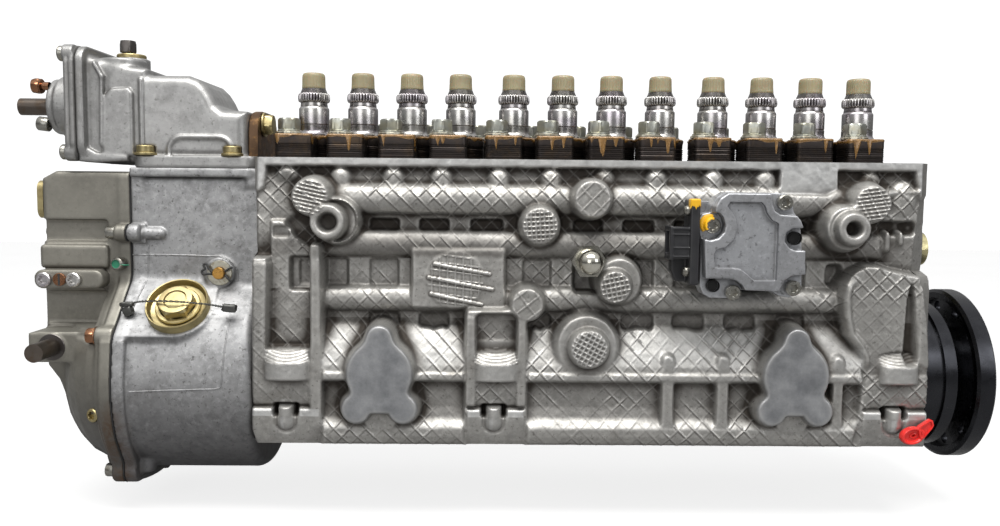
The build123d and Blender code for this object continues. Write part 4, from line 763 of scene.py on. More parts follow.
def housing_end(name, right):
    """End face with the cam chamber and the rack tunnel open."""
    Xp = HOUSING_R if right else HOUSING_L
    n = 64
    zf = np.linspace(BASE_Z, DECK_Z, n)
    yf = -np.interp(zf, fz, fH[-1] if right else fH[0])
    yb = np.interp(zf, bz, bH[-1] if right else bH[0])
    xe_f = np.interp(zf, fz, fxr if right else fxl)
    outer = [(Xp, y + 5.0, z, 0) for y, z in zip(yf, zf)]
    outer += [(Xp, y - 5.0, z, 0) for y, z in zip(yb[::-1], zf[::-1])]
    hole = [(Xp, 34 * math.cos(a), 34 * math.sin(a), 0) for a in np.linspace(0, 2 * math.pi, 48, endpoint=False)]
    if right:
        rack = [(Xp, 19 + 8 * math.cos(a), 89.5 + 8 * math.sin(a), 0) for a in np.linspace(0, 2 * math.pi, 24, endpoint=False)]
    else:
        rack = [(Xp, y, z, 0) for y, z in ((14, 82.8), (24.5, 82.8), (24.5, 96.2), (14, 96.2))]
    loops = [[Vector(p[:3]) for p in loop] for loop in (outer, hole, rack)]
    verts = [v for loop in loops for v in loop]
    tris = tessellate_polygon(loops)
    V = [tuple(v) for v in verts]
    F = []
    for t in tris:
        a, b, c = (verts[i] for i in t)
        nrm = (b - a).cross(c - a).x
        F.append(tuple(t) if (nrm > 0) == right else tuple(reversed(t)))
    # rim from the flat face out to the cast sides
    k0 = len(V)
    for y, z, x in zip(yf, zf, xe_f):
        V.append((x, y, z))
    for i in range(n - 1):
        q = (i, i + 1, k0 + i + 1, k0 + i)
        F.append(q if not right else tuple(reversed(q)))
    k1 = len(V)
    xe_b = np.interp(zf, bz, bxr if right else bxl)
    for y, z, x in zip(yb, zf, xe_b):
        V.append((x, y, z))
    m = n
    for i in range(n - 1):
        ia, ib = 2 * n - 1 - i, 2 * n - 2 - i
        q = (ia, ib, k1 + i + 1, k1 + i)
        F.append(q if right else tuple(reversed(q)))
    # chamber wall, made with the governor end and running to the drive end
    h0 = 2 * n
    Xo = HOUSING_L if right else HOUSING_R
    if not right:
        k2 = len(V)
        V += [(HOUSING_R, p[1], p[2]) for p in hole]
        for i in range(48):
            j = (i + 1) % 48
            F.append((h0 + i, h0 + j, k2 + j, k2 + i))
    ob = mesh_object(name, np.array(V), F, sharp=30)
    set_attr(ob, "cav", np.zeros(len(V)) + 0.12)
    return ob


for nm, right in (("housing_end_drive", True), ("housing_end_governor", False)):
    place(housing_end(nm, right), MAT["housing"], "pump", "pump_housing")

# ================================================ solids from distance fields
def ax(a, b, h):
    return np.arange(a, b + h * 0.5, h, dtype=np.float32)


class Field:
    """A box of cells of size h, in mm, over which a signed distance is meshed."""

    def __init__(self, x0, x1, y0, y1, z0, z1, h):
        xs, ys, zs = ax(x0, x1, h), ax(y0, y1, h), ax(z0, z1, h)
        self.o = np.array([x0, y0, z0])
        self.h = h
        self.X, self.Y, self.Z = xs[:, None, None], ys[None, :, None], zs[None, None, :]
        self.shape = (len(xs), len(ys), len(zs))

    def mesh(self, name, f, sharp=40):
        f = np.broadcast_to(f, self.shape).astype(np.float32)
        f = np.where(np.abs(f) < 1e-5, 1e-5, f)
        s = f < 0
        nx, ny, nz = self.shape
        cnt = np.zeros((nx - 1, ny - 1, nz - 1), np.int8)
        corners = [(i, j, k) for i in (0, 1) for j in (0, 1) for k in (0, 1)]
        for i, j, k in corners:
            cnt += s[i:nx - 1 + i, j:ny - 1 + j, k:nz - 1 + k]
        I, J, K = np.nonzero((cnt > 0) & (cnt < 8))
        vid = np.full(cnt.shape, -1, np.int64)
        vid[I, J, K] = np.arange(len(I))
        acc, n = np.zeros((len(I), 3)), np.zeros(len(I))
        for a in corners:
            for d in range(3):
                if a[d]:
                    continue
                b = list(a)
                b[d] = 1
                fa = f[I + a[0], J + a[1], K + a[2]]
                fb = f[I + b[0], J + b[1], K + b[2]]
                c = (fa < 0) != (fb < 0)
                t = np.where(c, fa / np.where(c, fa - fb, 1), 0)
                for e in range(3):
                    acc[:, e] += np.where(c, a[e] + (t if e == d else 0), 0)
                n += c
        V = self.o + (np.stack([I, J, K], -1) + acc / n[:, None]) * self.h
        quads = []

        def emit(s0, s1, cells):
            for sign in (True, False):
                sel = np.nonzero((s0 == sign) & (s1 != sign))
                q = np.stack([vid[tuple(np.asarray(sel[e]) + off[e] for e in range(3))] for off in cells], -1)
                quads.append(q if sign else q[:, ::-1])

        emit(s[:-1, 1:-1, 1:-1], s[1:, 1:-1, 1:-1], [(0, 0, 0), (0, 1, 0), (0, 1, 1), (0, 0, 1)])
        emit(s[1:-1, :-1, 1:-1], s[1:-1, 1:, 1:-1], [(0, 0, 0), (0, 0, 1), (1, 0, 1), (1, 0, 0)])
        emit(s[1:-1, 1:-1, :-1], s[1:-1, 1:-1, 1:], [(0, 0, 0), (1, 0, 0), (1, 1, 0), (0, 1, 0)])
        Q = np.concatenate(quads)
        Q = Q[(Q >= 0).all(1)]
        ob = mesh_object(name, V, Q, sharp=sharp)
        # painted shade: how closed in each point is, from the distance field a few mm out along the normal
        n0 = len(ob.data.vertices)
        co, no = np.empty(n0 * 3, dtype=np.float32), np.empty(n0 * 3, dtype=np.float32)
        ob.data.vertices.foreach_get("co", co)
        ob.data.vertex_normals.foreach_get("vector", no)
        co, no = co.reshape(-1, 3) / MM, no.reshape(-1, 3)
        top = np.array(self.shape) - 1
        shade = np.zeros(n0)
        for reach, share in ((2.2, 0.45), (5.0, 0.55)):
            g = np.clip(np.rint((co + no * reach - self.o) / self.h).astype(int), 0, top)
            shade += share * np.clip(1.0 - f[g[:, 0], g[:, 1], g[:, 2]] / (reach * 0.93), 0, 1)
        set_attr(ob, "cav", np.clip(shade * 1.25 - 0.08, 0, 1))
        return ob


def ext(d2, c, a, b, r=0.0):
    """A 2D distance carried along an axis from a to b, edges rounded by r."""
    q1, q2 = d2 + r, np.abs(c - (a + b) / 2) - (b - a) / 2 + r
    return np.hypot(np.maximum(q1, 0), np.maximum(q2, 0)) + np.minimum(np.maximum(q1, q2), 0) - r


def pold(U, V, pts):
    U, V = np.broadcast_arrays(U, V)
    return poly(U, V, pts)


def box3(G, x0, x1, y0, y1, z0, z1, r=0.8):
    d = ext(rbox(G.X, G.Y, x0, x1, y0, y1, max(r, 0.01)), G.Z, z0, z1, r)
    return d


def grow(pts, k, c):
    return [(c[0] + k * (u - c[0]), c[1] + k * (v - c[1])) for u, v in pts]


JX = -587.5
DRUM = [(-31, 62.5), (-42, 54), (-52, 43.5), (-59.5, 31), (-64, 18), (-66.3, 4), (-66.3, -8), (-64.8, -20), (-61.3, -32),
        (-55, -43.5), (-46, -53.5), (-36, -61), (-24, -66.8), (-10, -70), (2, -71), (14, -70), (27, -66.8), (39, -61),
        (49, -53.5), (58, -43.5), (64, -32), (67.5, -20), (69, -8), (69, 4), (66.5, 18), (62, 31), (54, 43.5), (43, 54), (38, 62.5)]
CAVITY = grow(DRUM, 0.925, (1.5, -3.0))


def curve(pts, i0, i1, per=5):
    """The points, with those from i0 to i1 joined by a smooth curve."""
    P = np.array(pts[i0:i1 + 1], float)
    P = np.vstack([2 * P[0] - P[1], P, 2 * P[-1] - P[-2]])
    out = []
    for i in range(1, len(P) - 2):
        for q in range(per):
            t = q / per
            out.append(tuple(0.5 * (2 * P[i] + (P[i + 1] - P[i - 1]) * t + (2 * P[i - 1] - 5 * P[i] + 4 * P[i + 1] - P[i + 2]) * t * t
                                    + (3 * P[i] - P[i - 1] - 3 * P[i + 1] + P[i + 2]) * t ** 3)))
    out.append(tuple(P[-2]))
    return list(pts[:i0]) + out + list(pts[i1 + 1:])


DRUM = curve(DRUM, 0, len(DRUM) - 1)
JOINT = [(-30.5, 137), (-30.5, 70), (-33.4, 64.6), (-64.6, 32.2), (-67, 28.5), (-68.6, 16.5), (-70, 6), (-70.3, -3),
         (-69.8, -12.7), (-68, -23.8), (-64.3, -35.5), (-58.5, -46), (-54, -53.5), (-50, -62), (-44, -70.5), (-37, -72.5),
         (-20, -75.5), (0, -77), (20, -75.5), (37, -72.5), (46, -69), (53, -60), (59, -48), (65.5, -35), (69.5, -23),
         (71.5, -10), (72, 0), (71, 12), (68, 26), (61, 40), (51, 54), (43, 64), (42, 70), (42, 137)]
JOINT = curve(JOINT, 4, len(JOINT) - 4)
EARS = [(-34.5, 98.9, 6.0), (44, 77.7, 7), (44, 110, 7), (-44.5, -63.5, 8), (10, -71, 8.5), (66, 8, 8)]
COVER_SCREWS = [(-34.5, 77.7), (-34.5, 98.9), (44, 77.7), (44, 110), (-58.5, 31.5), (-60.5, -24), (-44.5, -63.5), (10, -71), (56, -47), (66, 8)]
PAD_O, PAD_N, PAD_T = (-549.8, -48.26, 49.01), (0.0, -0.716, 0.698), (0.0, 0.698, 0.716)


def joint2(G, ears=EARS):
    d = pold(G.Y, G.Z, JOINT)
    for y, z, r in ears:
        d = smin(d, np.hypot(G.Y - y, G.Z - z) - r, 2.5)
    return d


# ---------------------------------------------------------- governor housing
G = Field(-588.5, -496.5, -76.0, 82.0, -82.0, 146.0, 1.0)
X, Y, Z = G.X, G.Y, G.Z
d = ext(pold(Y, Z, grow(DRUM, 0.93, (1.5, -3.0))) - 4.8, X, -640, -498.0, 7.0)
d = smin(d, box3(G, -640, -498.0, -30, 40, 0, 137, 2.6), 3.5)
d = smin(d, ext(joint2(G), X, -640, -579.6, 1.6), 2.2)
v = PAD_T[1] * (Y - PAD_O[1]) + PAD_T[2] * (Z - PAD_O[2])
n = PAD_N[1] * (Y - PAD_O[1]) + PAD_N[2] * (Z - PAD_O[2])
U, W = np.broadcast_arrays(X, v)
o = np.minimum(rbox(U, W, -640, -549.8, -23.4, 60, 0.5), circ(U, W, -549.8, -0.4, 23.0))
o = np.minimum(o, rbox(U, W, -640, -526.9, -0.4, 60, 0.5))
pad = ext(o, n, -15, -0.1, 1.1)
d = smin(d, np.maximum(pad, Z - 70), 2.2)
d = smin(d, ext(np.hypot(X + 527.2, Z - 71.8) - 10.6, Y, -34.2, -20, 1.2), 2.6)
d = smin(d, ext(rbox(np.broadcast_arrays(X, Z)[0], np.broadcast_arrays(X, Z)[1], -640, -577.2, 91.6, 105.2, 1.0), Y, -32.6, -20, 0.8), 1.0)
xs = np.clip(X, -580, -567.8)
d = smin(d, np.sqrt((X - xs) ** 2 + (Y + 30.2) ** 2 + (Z - 98.3) ** 2) - 4.1, 0.8)
d = smin(d, ext(rbox(np.broadcast_arrays(X, Y)[0], np.broadcast_arrays(X, Y)[1], -640, -502, -33, 42, 7), Z, 137.2, 143.4, 0.9), 1.2)
d = smin(d, ext(pold(X, Z, [(-503, 143), (-498.4, 140.4), (-498.4, 131), (-508, 131), (-508, 143)]), Y, -31.5, 38, 1.5), 3.0)
d = smin(d, ext(np.hypot(X + 577.0, Y + 39) - 6.2, Z, -66.0, -56, 2.4), 3.0)
d = smin(d, ext(np.hypot(X + 577.0, Y - 36) - 6.2, Z, -66.0, -56, 2.4), 3.0)
cav = ext(pold(Y, Z, CAVITY), X, -640, -506, 2.0)
cav = np.minimum(cav, box3(G, -640, -506, -27, 34, 0, 131, 1.5))
cav = np.minimum(cav, ext(np.hypot(Y, Z) - 20, X, -540, -480, 0.01))
cav = np.minimum(cav, box3(G, -540, -480, 13, 24, 82, 97, 0.5))
cav = np.minimum(cav, ext(np.hypot(U + 549.8, W) - 12.2, n, -30, 6, 0.01))
d = np.maximum(d, -cav)
d = np.maximum(d, -(X - JX))
gov = G.mesh("governor_housing_cast", d)
place(gov, MAT["governor"], "pump", "governor_housing", "governor_housing")

G = Field(-589.4, -586.4, -78.0, 82.0, -82.0, 146.0, 0.7)
d = ext(joint2(G) - 0.35, G.X, JX - 0.8, JX, 0.01)
cav = np.minimum(pold(G.Y, G.Z, CAVITY), rbox(np.broadcast_arrays(G.Y, G.Z)[0], np.broadcast_arrays(G.Y, G.Z)[1], -27, 34, 0, 131, 1.5))
d = np.maximum(d, -cav)
gask = G.mesh("governor_gasket_edge", d)
place(gask, MAT["gasket"], "pump", "governor_gasket", "governor_gasket")

# ------------------------------------------------------------ governor cover
G = Field(-652.0, -587.4, -80.0, 83.0, -82.0, 146.0, 1.0)
X, Y, Z = G.X, G.Y, G.Z
XZ = np.broadcast_arrays(X, Z)
rr = np.sqrt(Y * Y * 1.06 + Z * Z)
bell = pold(np.broadcast_to(X, G.shape), np.broadcast_to(rr, G.shape), [(-560, -60), (-560, 69), (-598, 68.0), (-607, 65.0), (-616, 60.0), (-623, 53.5), (-629.5, 44.5), (-634.0, 33.0), (-638.0, 19.0), (-642.0, 0), (-642.0, -60)])
body = ext(pold(X, Z, [(-560, 140.6), (-638.8, 140.6), (-648.4, 135.4), (-648.4, 6), (-641.0, -4.0), (-637.0, -14.0), (-634.0, -28.0), (-627.0, -41.5), (-617.0, -53.0), (-603.0, -60.0), (-560, -61)]), Y, -30.4, 37.4, 3.2)
d = smin(body, bell, 5.0)
d = smin(d, ext(joint2(G), X, -596.4, -560, 1.4), 1.6)
d = smin(d, ext(pold(Y, Z, grow(JOINT, 0.955, (2, 10))), X, -600.2, -560, 2.2), 2.2)
chan = ext(rbox(XZ[0], XZ[1], -660, -603.6, 92.2, 107.6, 2.5), Y, -60, -25.4, 2.4)
d = np.maximum(d, -chan)
d = smin(d, ext(rbox(XZ[0], XZ[1], -649.2, -602.8, 74, 90.2, 2.4), Y, -34.0, 20, 2.2), 1.2)
d = smin(d, ext(rbox(XZ[0], XZ[1], -649.6, -603.2, 60.8, 73.6, 5.6), Y, -42.0, 20, 1.4), 1.0)
d = np.maximum(d, -ext(rbox(XZ[0], XZ[1], -660, -604.0, 35.6, 58.4, 3.0), Y, -60, -28.2, 2.0))
d = smin(d, ext(pold(X, Z, [(-600, 33.2), (-641, 33.2), (-648.6, 32.2), (-648.6, 12.4), (-600, 12.4)]), Y, -54.0, 20, 1.4), 1.6)
d = smin(d, ext(np.hypot(X + 632.6, Z - 23.0) - 9.4, Y, -54.9, 0, 0.8), 0.8)
d = smin(d, ext(np.hypot(Y + 58.5, Z - 31.5) - 6.6, X, -600.4, -560, 1.2), 1.6)
d = smin(d, ext(pold(X, Z, [(-590, -66), (-604, -52), (-618, -43), (-616, -38), (-590, -46)]), Y, -37, -31, 1.0), 2.0)
cav = pold(np.broadcast_to(X, G.shape), np.broadcast_to(rr, G.shape), [(-560, -60), (-560, 62), (-597.5, 57), (-619.5, 38), (-633, 16), (-640.5, 0), (-640.5, -60)])
cav = np.minimum(cav, box3(G, -643, -560, -24.5, 29.5, -2, 135, 1.0))
SHOWN_SCREWS = [q for q in COVER_SCREWS if q not in ((-34.5, 77.7), (-60.5, -24))]
for y, z in SHOWN_SCREWS:
    cav = np.minimum(cav, ext(np.hypot(Y - y, Z - z) - 5.3, X, -616, -596.4, 0.01))
cav = np.minimum(cav, ext(np.hypot(X + 632.6, Z - 23.0) - 6.2, Y, -70, 0, 0.01))
d = np.maximum(d, -cav)
d = np.maximum(d, X - (JX - 0.8))
d = np.maximum(d, -(X + 651.5))
cov = G.mesh("governor_cover_cast", d)
place(cov, MAT["cover"], "pump", "governor_cover", "governor_cover")

# ------------------------------------------------------------- stop actuator
G = Field(-622.0, -499.8, -40.0, 46.0, 141.0, 226.5, 0.85)
X, Y, Z = G.X, G.Y, G.Z
XZ, XY, YZ = np.broadcast_arrays(X, Z), np.broadcast_arrays(X, Y), np.broadcast_arrays(Y, Z)
d = ext(rbox(XY[0], XY[1], -585.4, -501.1, -33, 42, 7.5), Z, 143.5, 151.8, 0.9)
dome = ext(pold(X, Z, [(-583, 149), (-508.2, 149), (-508.2, 182.6), (-525.0, 183.4), (-529.4, 187), (-532.2, 193), (-536, 199), (-541, 203.8), (-548, 206.4), (-583, 206.4)]), Y, -29.6, 35.6, 7.5)
d = smin(d, dome, 2.4)
tower = ext(pold(X, Z, [(-621, 148.4), (-606, 146.8), (-577, 146.8), (-574.5, 200), (-576, 210.6), (-586, 212), (-607.5, 216.5), (-615, 218.6), (-621, 220.6)]), Y, -29.6, 35.6, 5.0)
d = smin(d, tower, 1.6)
d = smin(d, ext(np.hypot(X + 597.5, Y + 13) - 15.6, Z, 150, 218.0, 1.6), 2.2)
d = smin(d, ext(np.hypot(X + 598, Y - 3) - 12.5, Z, 150, 220.9, 0.8), 1.6)
d = smin(d, ext(pold(X, Z, [(-606, 151), (-606, 186), (-603.5, 192), (-599, 196.5), (-586.8, 197.4), (-584, 194), (-584, 151)]), Y, -33.0, 0, 2.6), 1.2)
d = smin(d, ext(rbox(XZ[0], XZ[1], -580.6, -577.4, 152, 204, 1.4), Y, -31.2, 0, 1.2), 1.2)
for (ax0, az0), (bx0, bz0) in (((-609.5, 213.4), (-604.5, 204.3)), ((-604.5, 204.3), (-605.7, 159.2))):
    d = smin(d, ext(capsule(XZ[0], XZ[1], ax0, az0, bx0, bz0, 1.3), Y, -33.6, -20, 1.0), 1.4)
d = smin(d, ext(rbox(YZ[0], YZ[1], -36.6, 40.6, 147.8, 225.2, 12), X, -621, -615.6, 1.0), 2.6)
d = smin(d, ext(pold(X, Z, [(-621, 147.2), (-610, 146.4), (-588, 147.6), (-588, 151.6), (-609, 153.0), (-621, 160)]), Y, -33.6, 36, 1.6), 1.5)
d = smin(d, ext(np.abs(rbox(XZ[0], XZ[1], -560.8, -518.2, 128, 164.6, 9)) - 1.3, Y, -31.4, -20, 1.2), 1.6)
for y in (-30.5, 38.5):
    for x in (-576.8, -517.8):
        d = np.maximum(d, -ext(np.hypot(X - x, Y - y) - 6.5, Z, 151.9, 158.2, 0.6))
cav = np.minimum(box3(G, -622, -582, -17.5, 25, 153, 209, 2), box3(G, -590, -548, -17.5, 25, 153, 194, 2))
cav = np.minimum(cav, box3(G, -552, -530, -17.5, 25, 153, 176, 2))
d = np.maximum(d, -cav)
d = np.maximum(d, -(X + 621.0))
act = G.mesh("stop_actuator_cast", d)
place(act, MAT["actuator"], "pump", "compensator_housing", "compensator_housing")

G = Field(-653.0, -620.6, -40.0, 44.0, 144.5, 228.5, 0.8)
X, Y, Z = G.X, G.Y, G.Z
YZ = np.broadcast_arrays(Y, Z)
plate = rbox(YZ[0], YZ[1], -37.8, 41.8, 147.2, 225.6, 13)
d = ext(plate, X, -624.4, -621, 0.6)
d = np.minimum(d, ext(plate + 0.5, X, -628.4, -624.8, 1.2))
d = np.minimum(d, ext(plate + 1.4, X, -626, -621.2, 0.1))
d = smin(d, ext(np.hypot(Y, Z - 186.4) - 21.4, X, -644.4, -622, 1.8), 2.2)
d = smin(d, ext(np.hypot(Y, Z - 186.4) - 19.4, X, -649.8, -640, 1.4), 1.0)
for y in (-31, 35):
    for z in (153.4, 219.4):
        d = smin(d, ext(np.hypot(Y - y, Z - z) - 6.2, X, -629.4, -622, 0.8), 1.0)
d = np.maximum(d, -ext(np.hypot(Y, Z - 186.4) - 6.2, X, -660, -610, 0.01))
d = np.maximum(d, X + 621.05)
acov = G.mesh("stop_actuator_cover", d)
place(acov, MAT["actuator"], "pump", "compensator_cover", "compensator_cover")

# -------------------------------------------------------------- sensor cover
def sx(p, b=165):
    return -174.4 + 1.02 * (-31.9 + (p - 450) / 14.66 + 0.0021 * (b - 165))


def sz(p):
    return 124.0 - (p - 165) / 14.35


def spts(*pts):
    return [(sx(a, b) - 0.9, sz(b)) for a, b in pts]


G = Field(-209.5, -136.5, -89.5, -64.5, 60.5, 132.5, 0.55)
X, Y, Z = G.X, G.Y, G.Z
XZ = np.broadcast_arrays(X, Z)
sil = pold(X, Z, spts((540, 262), (562, 190), (604, 122), (680, 76), (1080, 78), (1235, 84), (1292, 120), (1312, 250), (1345, 300), (1376, 420),
                      (1386, 560), (1386, 930), (1350, 1010), (1262, 1040), (1170, 1020), (1110, 985), (822, 968), (806, 1016), (750, 1048), (540, 1046), (474, 1010), (440, 930), (452, 500),
                      (436, 420), (432, 330), (470, 276)))
base = ext(sil, Y, -79.8, -65.2, 0.8)
rim = pold(X, Z, spts((560, 262), (566, 205), (608, 134), (684, 84), (1074, 86), (1084, 190), (1104, 240), (1150, 272), (1306, 284), (1340, 330), (1362, 392), (1262, 396),
                      (1204, 440), (1194, 520), (1236, 576), (1290, 596), (1380, 596), (1382, 815), (1262, 826), (1186, 872), (1158, 940), (1140, 972), (832, 962), (806, 915), (756, 876), (690, 858), (470, 858),
                      (462, 500), (520, 512), (590, 492), (640, 440), (656, 370), (636, 300), (600, 262)))
d = smin(base, ext(rim, Y, -87.9, -66, 1.1), 1.0)
panel = pold(X, Z, spts((652, 205), (690, 150), (990, 152), (1024, 190), (1046, 262), (1088, 316), (1150, 348), (1140, 600), (1128, 888), (906, 890), (850, 838), (790, 792), (720, 780), (545, 778),
                        (532, 640), (560, 582), (650, 556), (712, 500), (742, 420), (738, 340), (700, 262)))
d = np.maximum(d, -ext(panel + 0.9, Y, -96, -85.0, 0.7))
hx, hz = sx(1294, 490), sz(490)
d = np.maximum(d, -ext(np.hypot(X - hx, Z - hz) - 4.1, Y, -96, -70, 0.01))
d = np.maximum(d, -ext(rbox(XZ[0], XZ[1], sx(1236, 490), sx(1348, 490), sz(548), sz(440), 3.4) - 1.2, Y, -96, -84.6, 0.3))
hx, hz = sx(545, 930), sz(930)
d = np.maximum(d, -ext(np.hypot(X - hx, Z - hz) - 3.9, Y, -96, -70, 0.01))
for a, b in ((1200, 165), (540, 380), (725, 990), (1275, 945)):
    d = np.maximum(d, -ext(np.hypot(X - sx(a, b), Z - sz(b)) - 5.6, Y, -96, -80.6, 0.4))
d = np.maximum(d, Y + 65.2)
sens = G.mesh("sensor_cover_cast", d)
place(sens, MAT["sensor"], "pump", "sensor_cover", "sensor_cover")

# plate behind the cover, seen only as a strip at its left
G = Field(-209.5, -138.5, -66.6, -58.6, 60.5, 132.5, 0.8)
X, Y, Z = G.X, G.Y, G.Z
XZ = np.broadcast_arrays(X, Z)
ps = spts((560, 262), (582, 200), (620, 136), (690, 96), (1080, 98), (1225, 104), (1276, 136), (1300, 260), (1340, 420), (1366, 560), (1366, 930), (1330, 1000), (1262, 1020),
          (1170, 1000), (1110, 965), (822, 948), (750, 1028), (540, 1026), (484, 990), (450, 930), (452, 276))
d = ext(np.minimum(pold(X, Z, ps), rbox(XZ[0], XZ[1], -206.4, -196.0, 72.5, 124.5, 1.0)), Y, -65.2, -60.0, 0.5)
# room for the cover's four screws
d = np.maximum(d, -np.minimum.reduce([ext(np.hypot(X - sx(a, b), Z - sz(b)) - 2.6, Y, -90, -40, 0.01) + 0 * d for a, b in ((1200, 165), (540, 380), (725, 990), (1275, 945))]))
plate_ob = G.mesh("sensor_back_plate", d)
place(plate_ob, MAT["sensor"], "pump", "sensor_plate", "sensor_plate")

# connector: flange, ribbed body with an open socket, shaded foot below
G = Field(-231.0, -205.0, -87.5, -64.0, 68.5, 127.5, 0.5)
X, Y, Z = G.X, G.Y, G.Z
XZ = np.broadcast_arrays(X, Z)
d = box3(G, -214.8, -208.8, -86, -66, 71.2, 125.6, 1.0)
body = box3(G, -226.8, -212.0, -84, -68, 87.6, 107.9, 1.0)
for z0, z1 in ((106.2, 107.9), (102.8, 103.9), (94.4, 95.2), (88.8, 89.9)):
    body = np.minimum(body, box3(G, -226.2, -213, -84.9, -70, z0, z1, 0.4))
body = np.minimum(body, box3(G, -227.4, -224.6, -84.6, -67.4, 87.0, 108.5, 0.6))
d = smin(d, body, 0.6)
d = np.maximum(d, -box3(G, -240, -219.5, -81.4, -70.6, 90.4, 105.2, 0.8))
d = smin(d, ext(pold(X, Z, [(-224.5, 88), (-212, 88), (-212, 72.5), (-221.5, 72.5), (-224.5, 80)]), Y, -75.5, -66.5, 1.2), 1.0)
conn = G.mesh("sensor_connector_ribbed", d)
place(conn, MAT["black_plastic"], "pump", "sensor_connector", "sensor_connector")
G = Field(-216.2, -207.4, -87.2, -78.0, 117.5, 127.0, 0.4)
X, Y, Z = G.X, G.Y, G.Z
XZ = np.broadcast_arrays(X, Z)
wav = 0.9 * np.sin(X * 1.7) + 0.5 * np.sin(X * 3.9 + 1.0)
d = box3(G, -215.05, -208.55, -86.25, -79.0, 110, 125.85, 1.0)
d = np.maximum(d, (120.4 + wav) - Z)
paint = G.mesh("sealing_paint", d)
place(paint, MAT["paint"], "pump", "sensor_connector")

# ============================================================ turned pieces
class Build:
    """Collects vertices and faces, in mm, for one object."""

    def __init__(self):
        self.V, self.F = [], []

    def add(self, V, F):
        o = len(self.V)
        self.V += [tuple(p) for p in V]
        self.F += [tuple(i + o for i in f) for f in F]

    def obj(self, name, sharp=35):
        return mesh_object(name, np.array(self.V), self.F, sharp=sharp)


def frame_axes(axis):
    a = Vector(axis).normalized()
    t = Vector((0, 0, 1)) if abs(a.z) < 0.9 else Vector((1, 0, 0))
    u = t.cross(a).normalized()
    return u, a.cross(u), a


def lathe(B, prof, at=(0, 0, 0), axis=(0, 0, 1), n=40, rad=None, spin=0.0):
    """A turned piece: prof is (r, z) along the axis; rad(theta, r, z) bends the radius."""
    u, v, a = frame_axes(axis)
    at = Vector(at)
    V, F = [], []
    rows = []
    for r, z in prof:
        if r <= 1e-6:
            rows.append([len(V)])
            V.append(at + a * z)
            continue
        row = []
        for i in range(n):
            th = 2 * math.pi * i / n + spin
            rr = rad(th, r, z) if rad else r
            row.append(len(V))
            V.append(at + u * (rr * math.cos(th)) + v * (rr * math.sin(th)) + a * z)
        rows.append(row)
    for p, q in zip(rows[:-1], rows[1:]):
        if len(p) == 1 and len(q) == 1:
            continue
        for i in range(n):
            j = (i + 1) % n
            if len(p) == 1:
                F.append((p[0], q[j], q[i]))
            elif len(q) == 1:
                F.append((p[i], p[j], q[0]))
            else:
                F.append((p[i], p[j], q[j], q[i]))
    B.add(V, F)


def hexrad(across, spin0=0.0):
    """Radius of a hexagon whose corner radius is across, with the corners turned down."""
    flat = across * math.cos(math.pi / 6)

    def f(th, r, z):
        t = (th - spin0) % (math.pi / 3) - math.pi / 6
        return min(r, flat / math.cos(t))
    return f


def hexhead(B, at, axis, corner, height, washer=None, spin=0.0, dome=0.7, recess=None):
    flat = corner * math.cos(math.pi / 6)
    z0 = 0.0
    if washer:
        wr, wh = washer
        lathe(B, [(0, 0), (wr - 0.3, 0), (wr, 0.3), (wr, wh - 0.3), (wr - 0.4, wh), (0, wh)], at, axis, 36)
        z0 = wh
    prof = [(0, z0), (flat * 1.02, z0), (corner, z0 + 0.5), (corner, z0 + height - dome * 1.1), (flat * 0.985, z0 + height - 0.1), (flat * 0.9, z0 + height)]
    if recess:
        prof += [(recess, z0 + height), (recess * 0.94, z0 + height - 1.2), (0, z0 + height - 1.2)]
    else:
        prof += [(0, z0 + height)]
    lathe(B, prof, at, axis, 72, hexrad(corner, spin))


def torx(B, at, axis, r, h, k=6, rin=None):
    """Round head with a star recess."""
    rin = rin or r * 0.5
    lathe(B, [(0, 0), (r * 0.96, 0), (r, 0.4), (r, h - 0.7), (r * 0.86, h), (rin * 1.12, h)], at, axis, 48)

    def star(th, rr, z):
        return rr * (1 + 0.13 * math.cos(k * th)) if rr > 0 else 0
    lathe(B, [(rin * 1.12, h), (rin * 1.04, h - 0.2), (rin, h - 2.2), (0, h - 2.2)], at, axis, 48, lambda th, rr, z: rr if z >= h - 1e-6 else star(th, rr, z))


# --------------------------------------------- flanges on the deck, with shims
def plan_radius(n):
    """Outline of one flange seen from above: a round body with an ear front left and rear right."""
    th = np.arange(n) * 2 * math.pi / n
    r = np.linspace(10, 45, 1400)
    x, y = np.cos(th)[:, None] * r, np.sin(th)[:, None] * r
    f = circ(x, y, 0, 0, 16.8)
    for k in (1, -1):
        xa, xb = sorted((-20.2 * k, 5.2 * k))
        ya, yb = sorted((-36.0 * k, -13.0 * k))
        f = smin(f, rbox(x, y, xa, xb, ya, yb, 3.2), 3.0)
    return r[f.shape[1] - 1 - np.argmax((f < 0)[:, ::-1], axis=1)]


class Rings:
    """Rows of n points around an axis along Z, joined into a skin, with a shade value per row."""

    def __init__(self):
        self.V, self.F, self.C = [], [], []

    def add(self, cx, cy, rows):
        n = len(rows[0][0])
        th = np.arange(n) * 2 * math.pi / n
        base = sum(len(v) for v in self.V)
        for R, z, c in rows:
            z = np.broadcast_to(z, (n,))
            self.V.append(np.stack([cx + R * np.cos(th), cy + R * np.sin(th), z], -1))
            self.C.append(np.broadcast_to(np.asarray(c, float), (n,)))
        i = np.arange(n)
        j = (i + 1) % n
        for k in range(len(rows) - 1):
            a, b2 = base + k * n, base + (k + 1) * n
            self.F.append(np.stack([a + i, a + j, b2 + j, b2 + i], -1))

    def obj(self, name, sharp=30):
        ob = mesh_object(name, np.concatenate(self.V), np.concatenate(self.F), sharp=sharp)
        set_attr(ob, "cav", np.concatenate(self.C))
        return ob


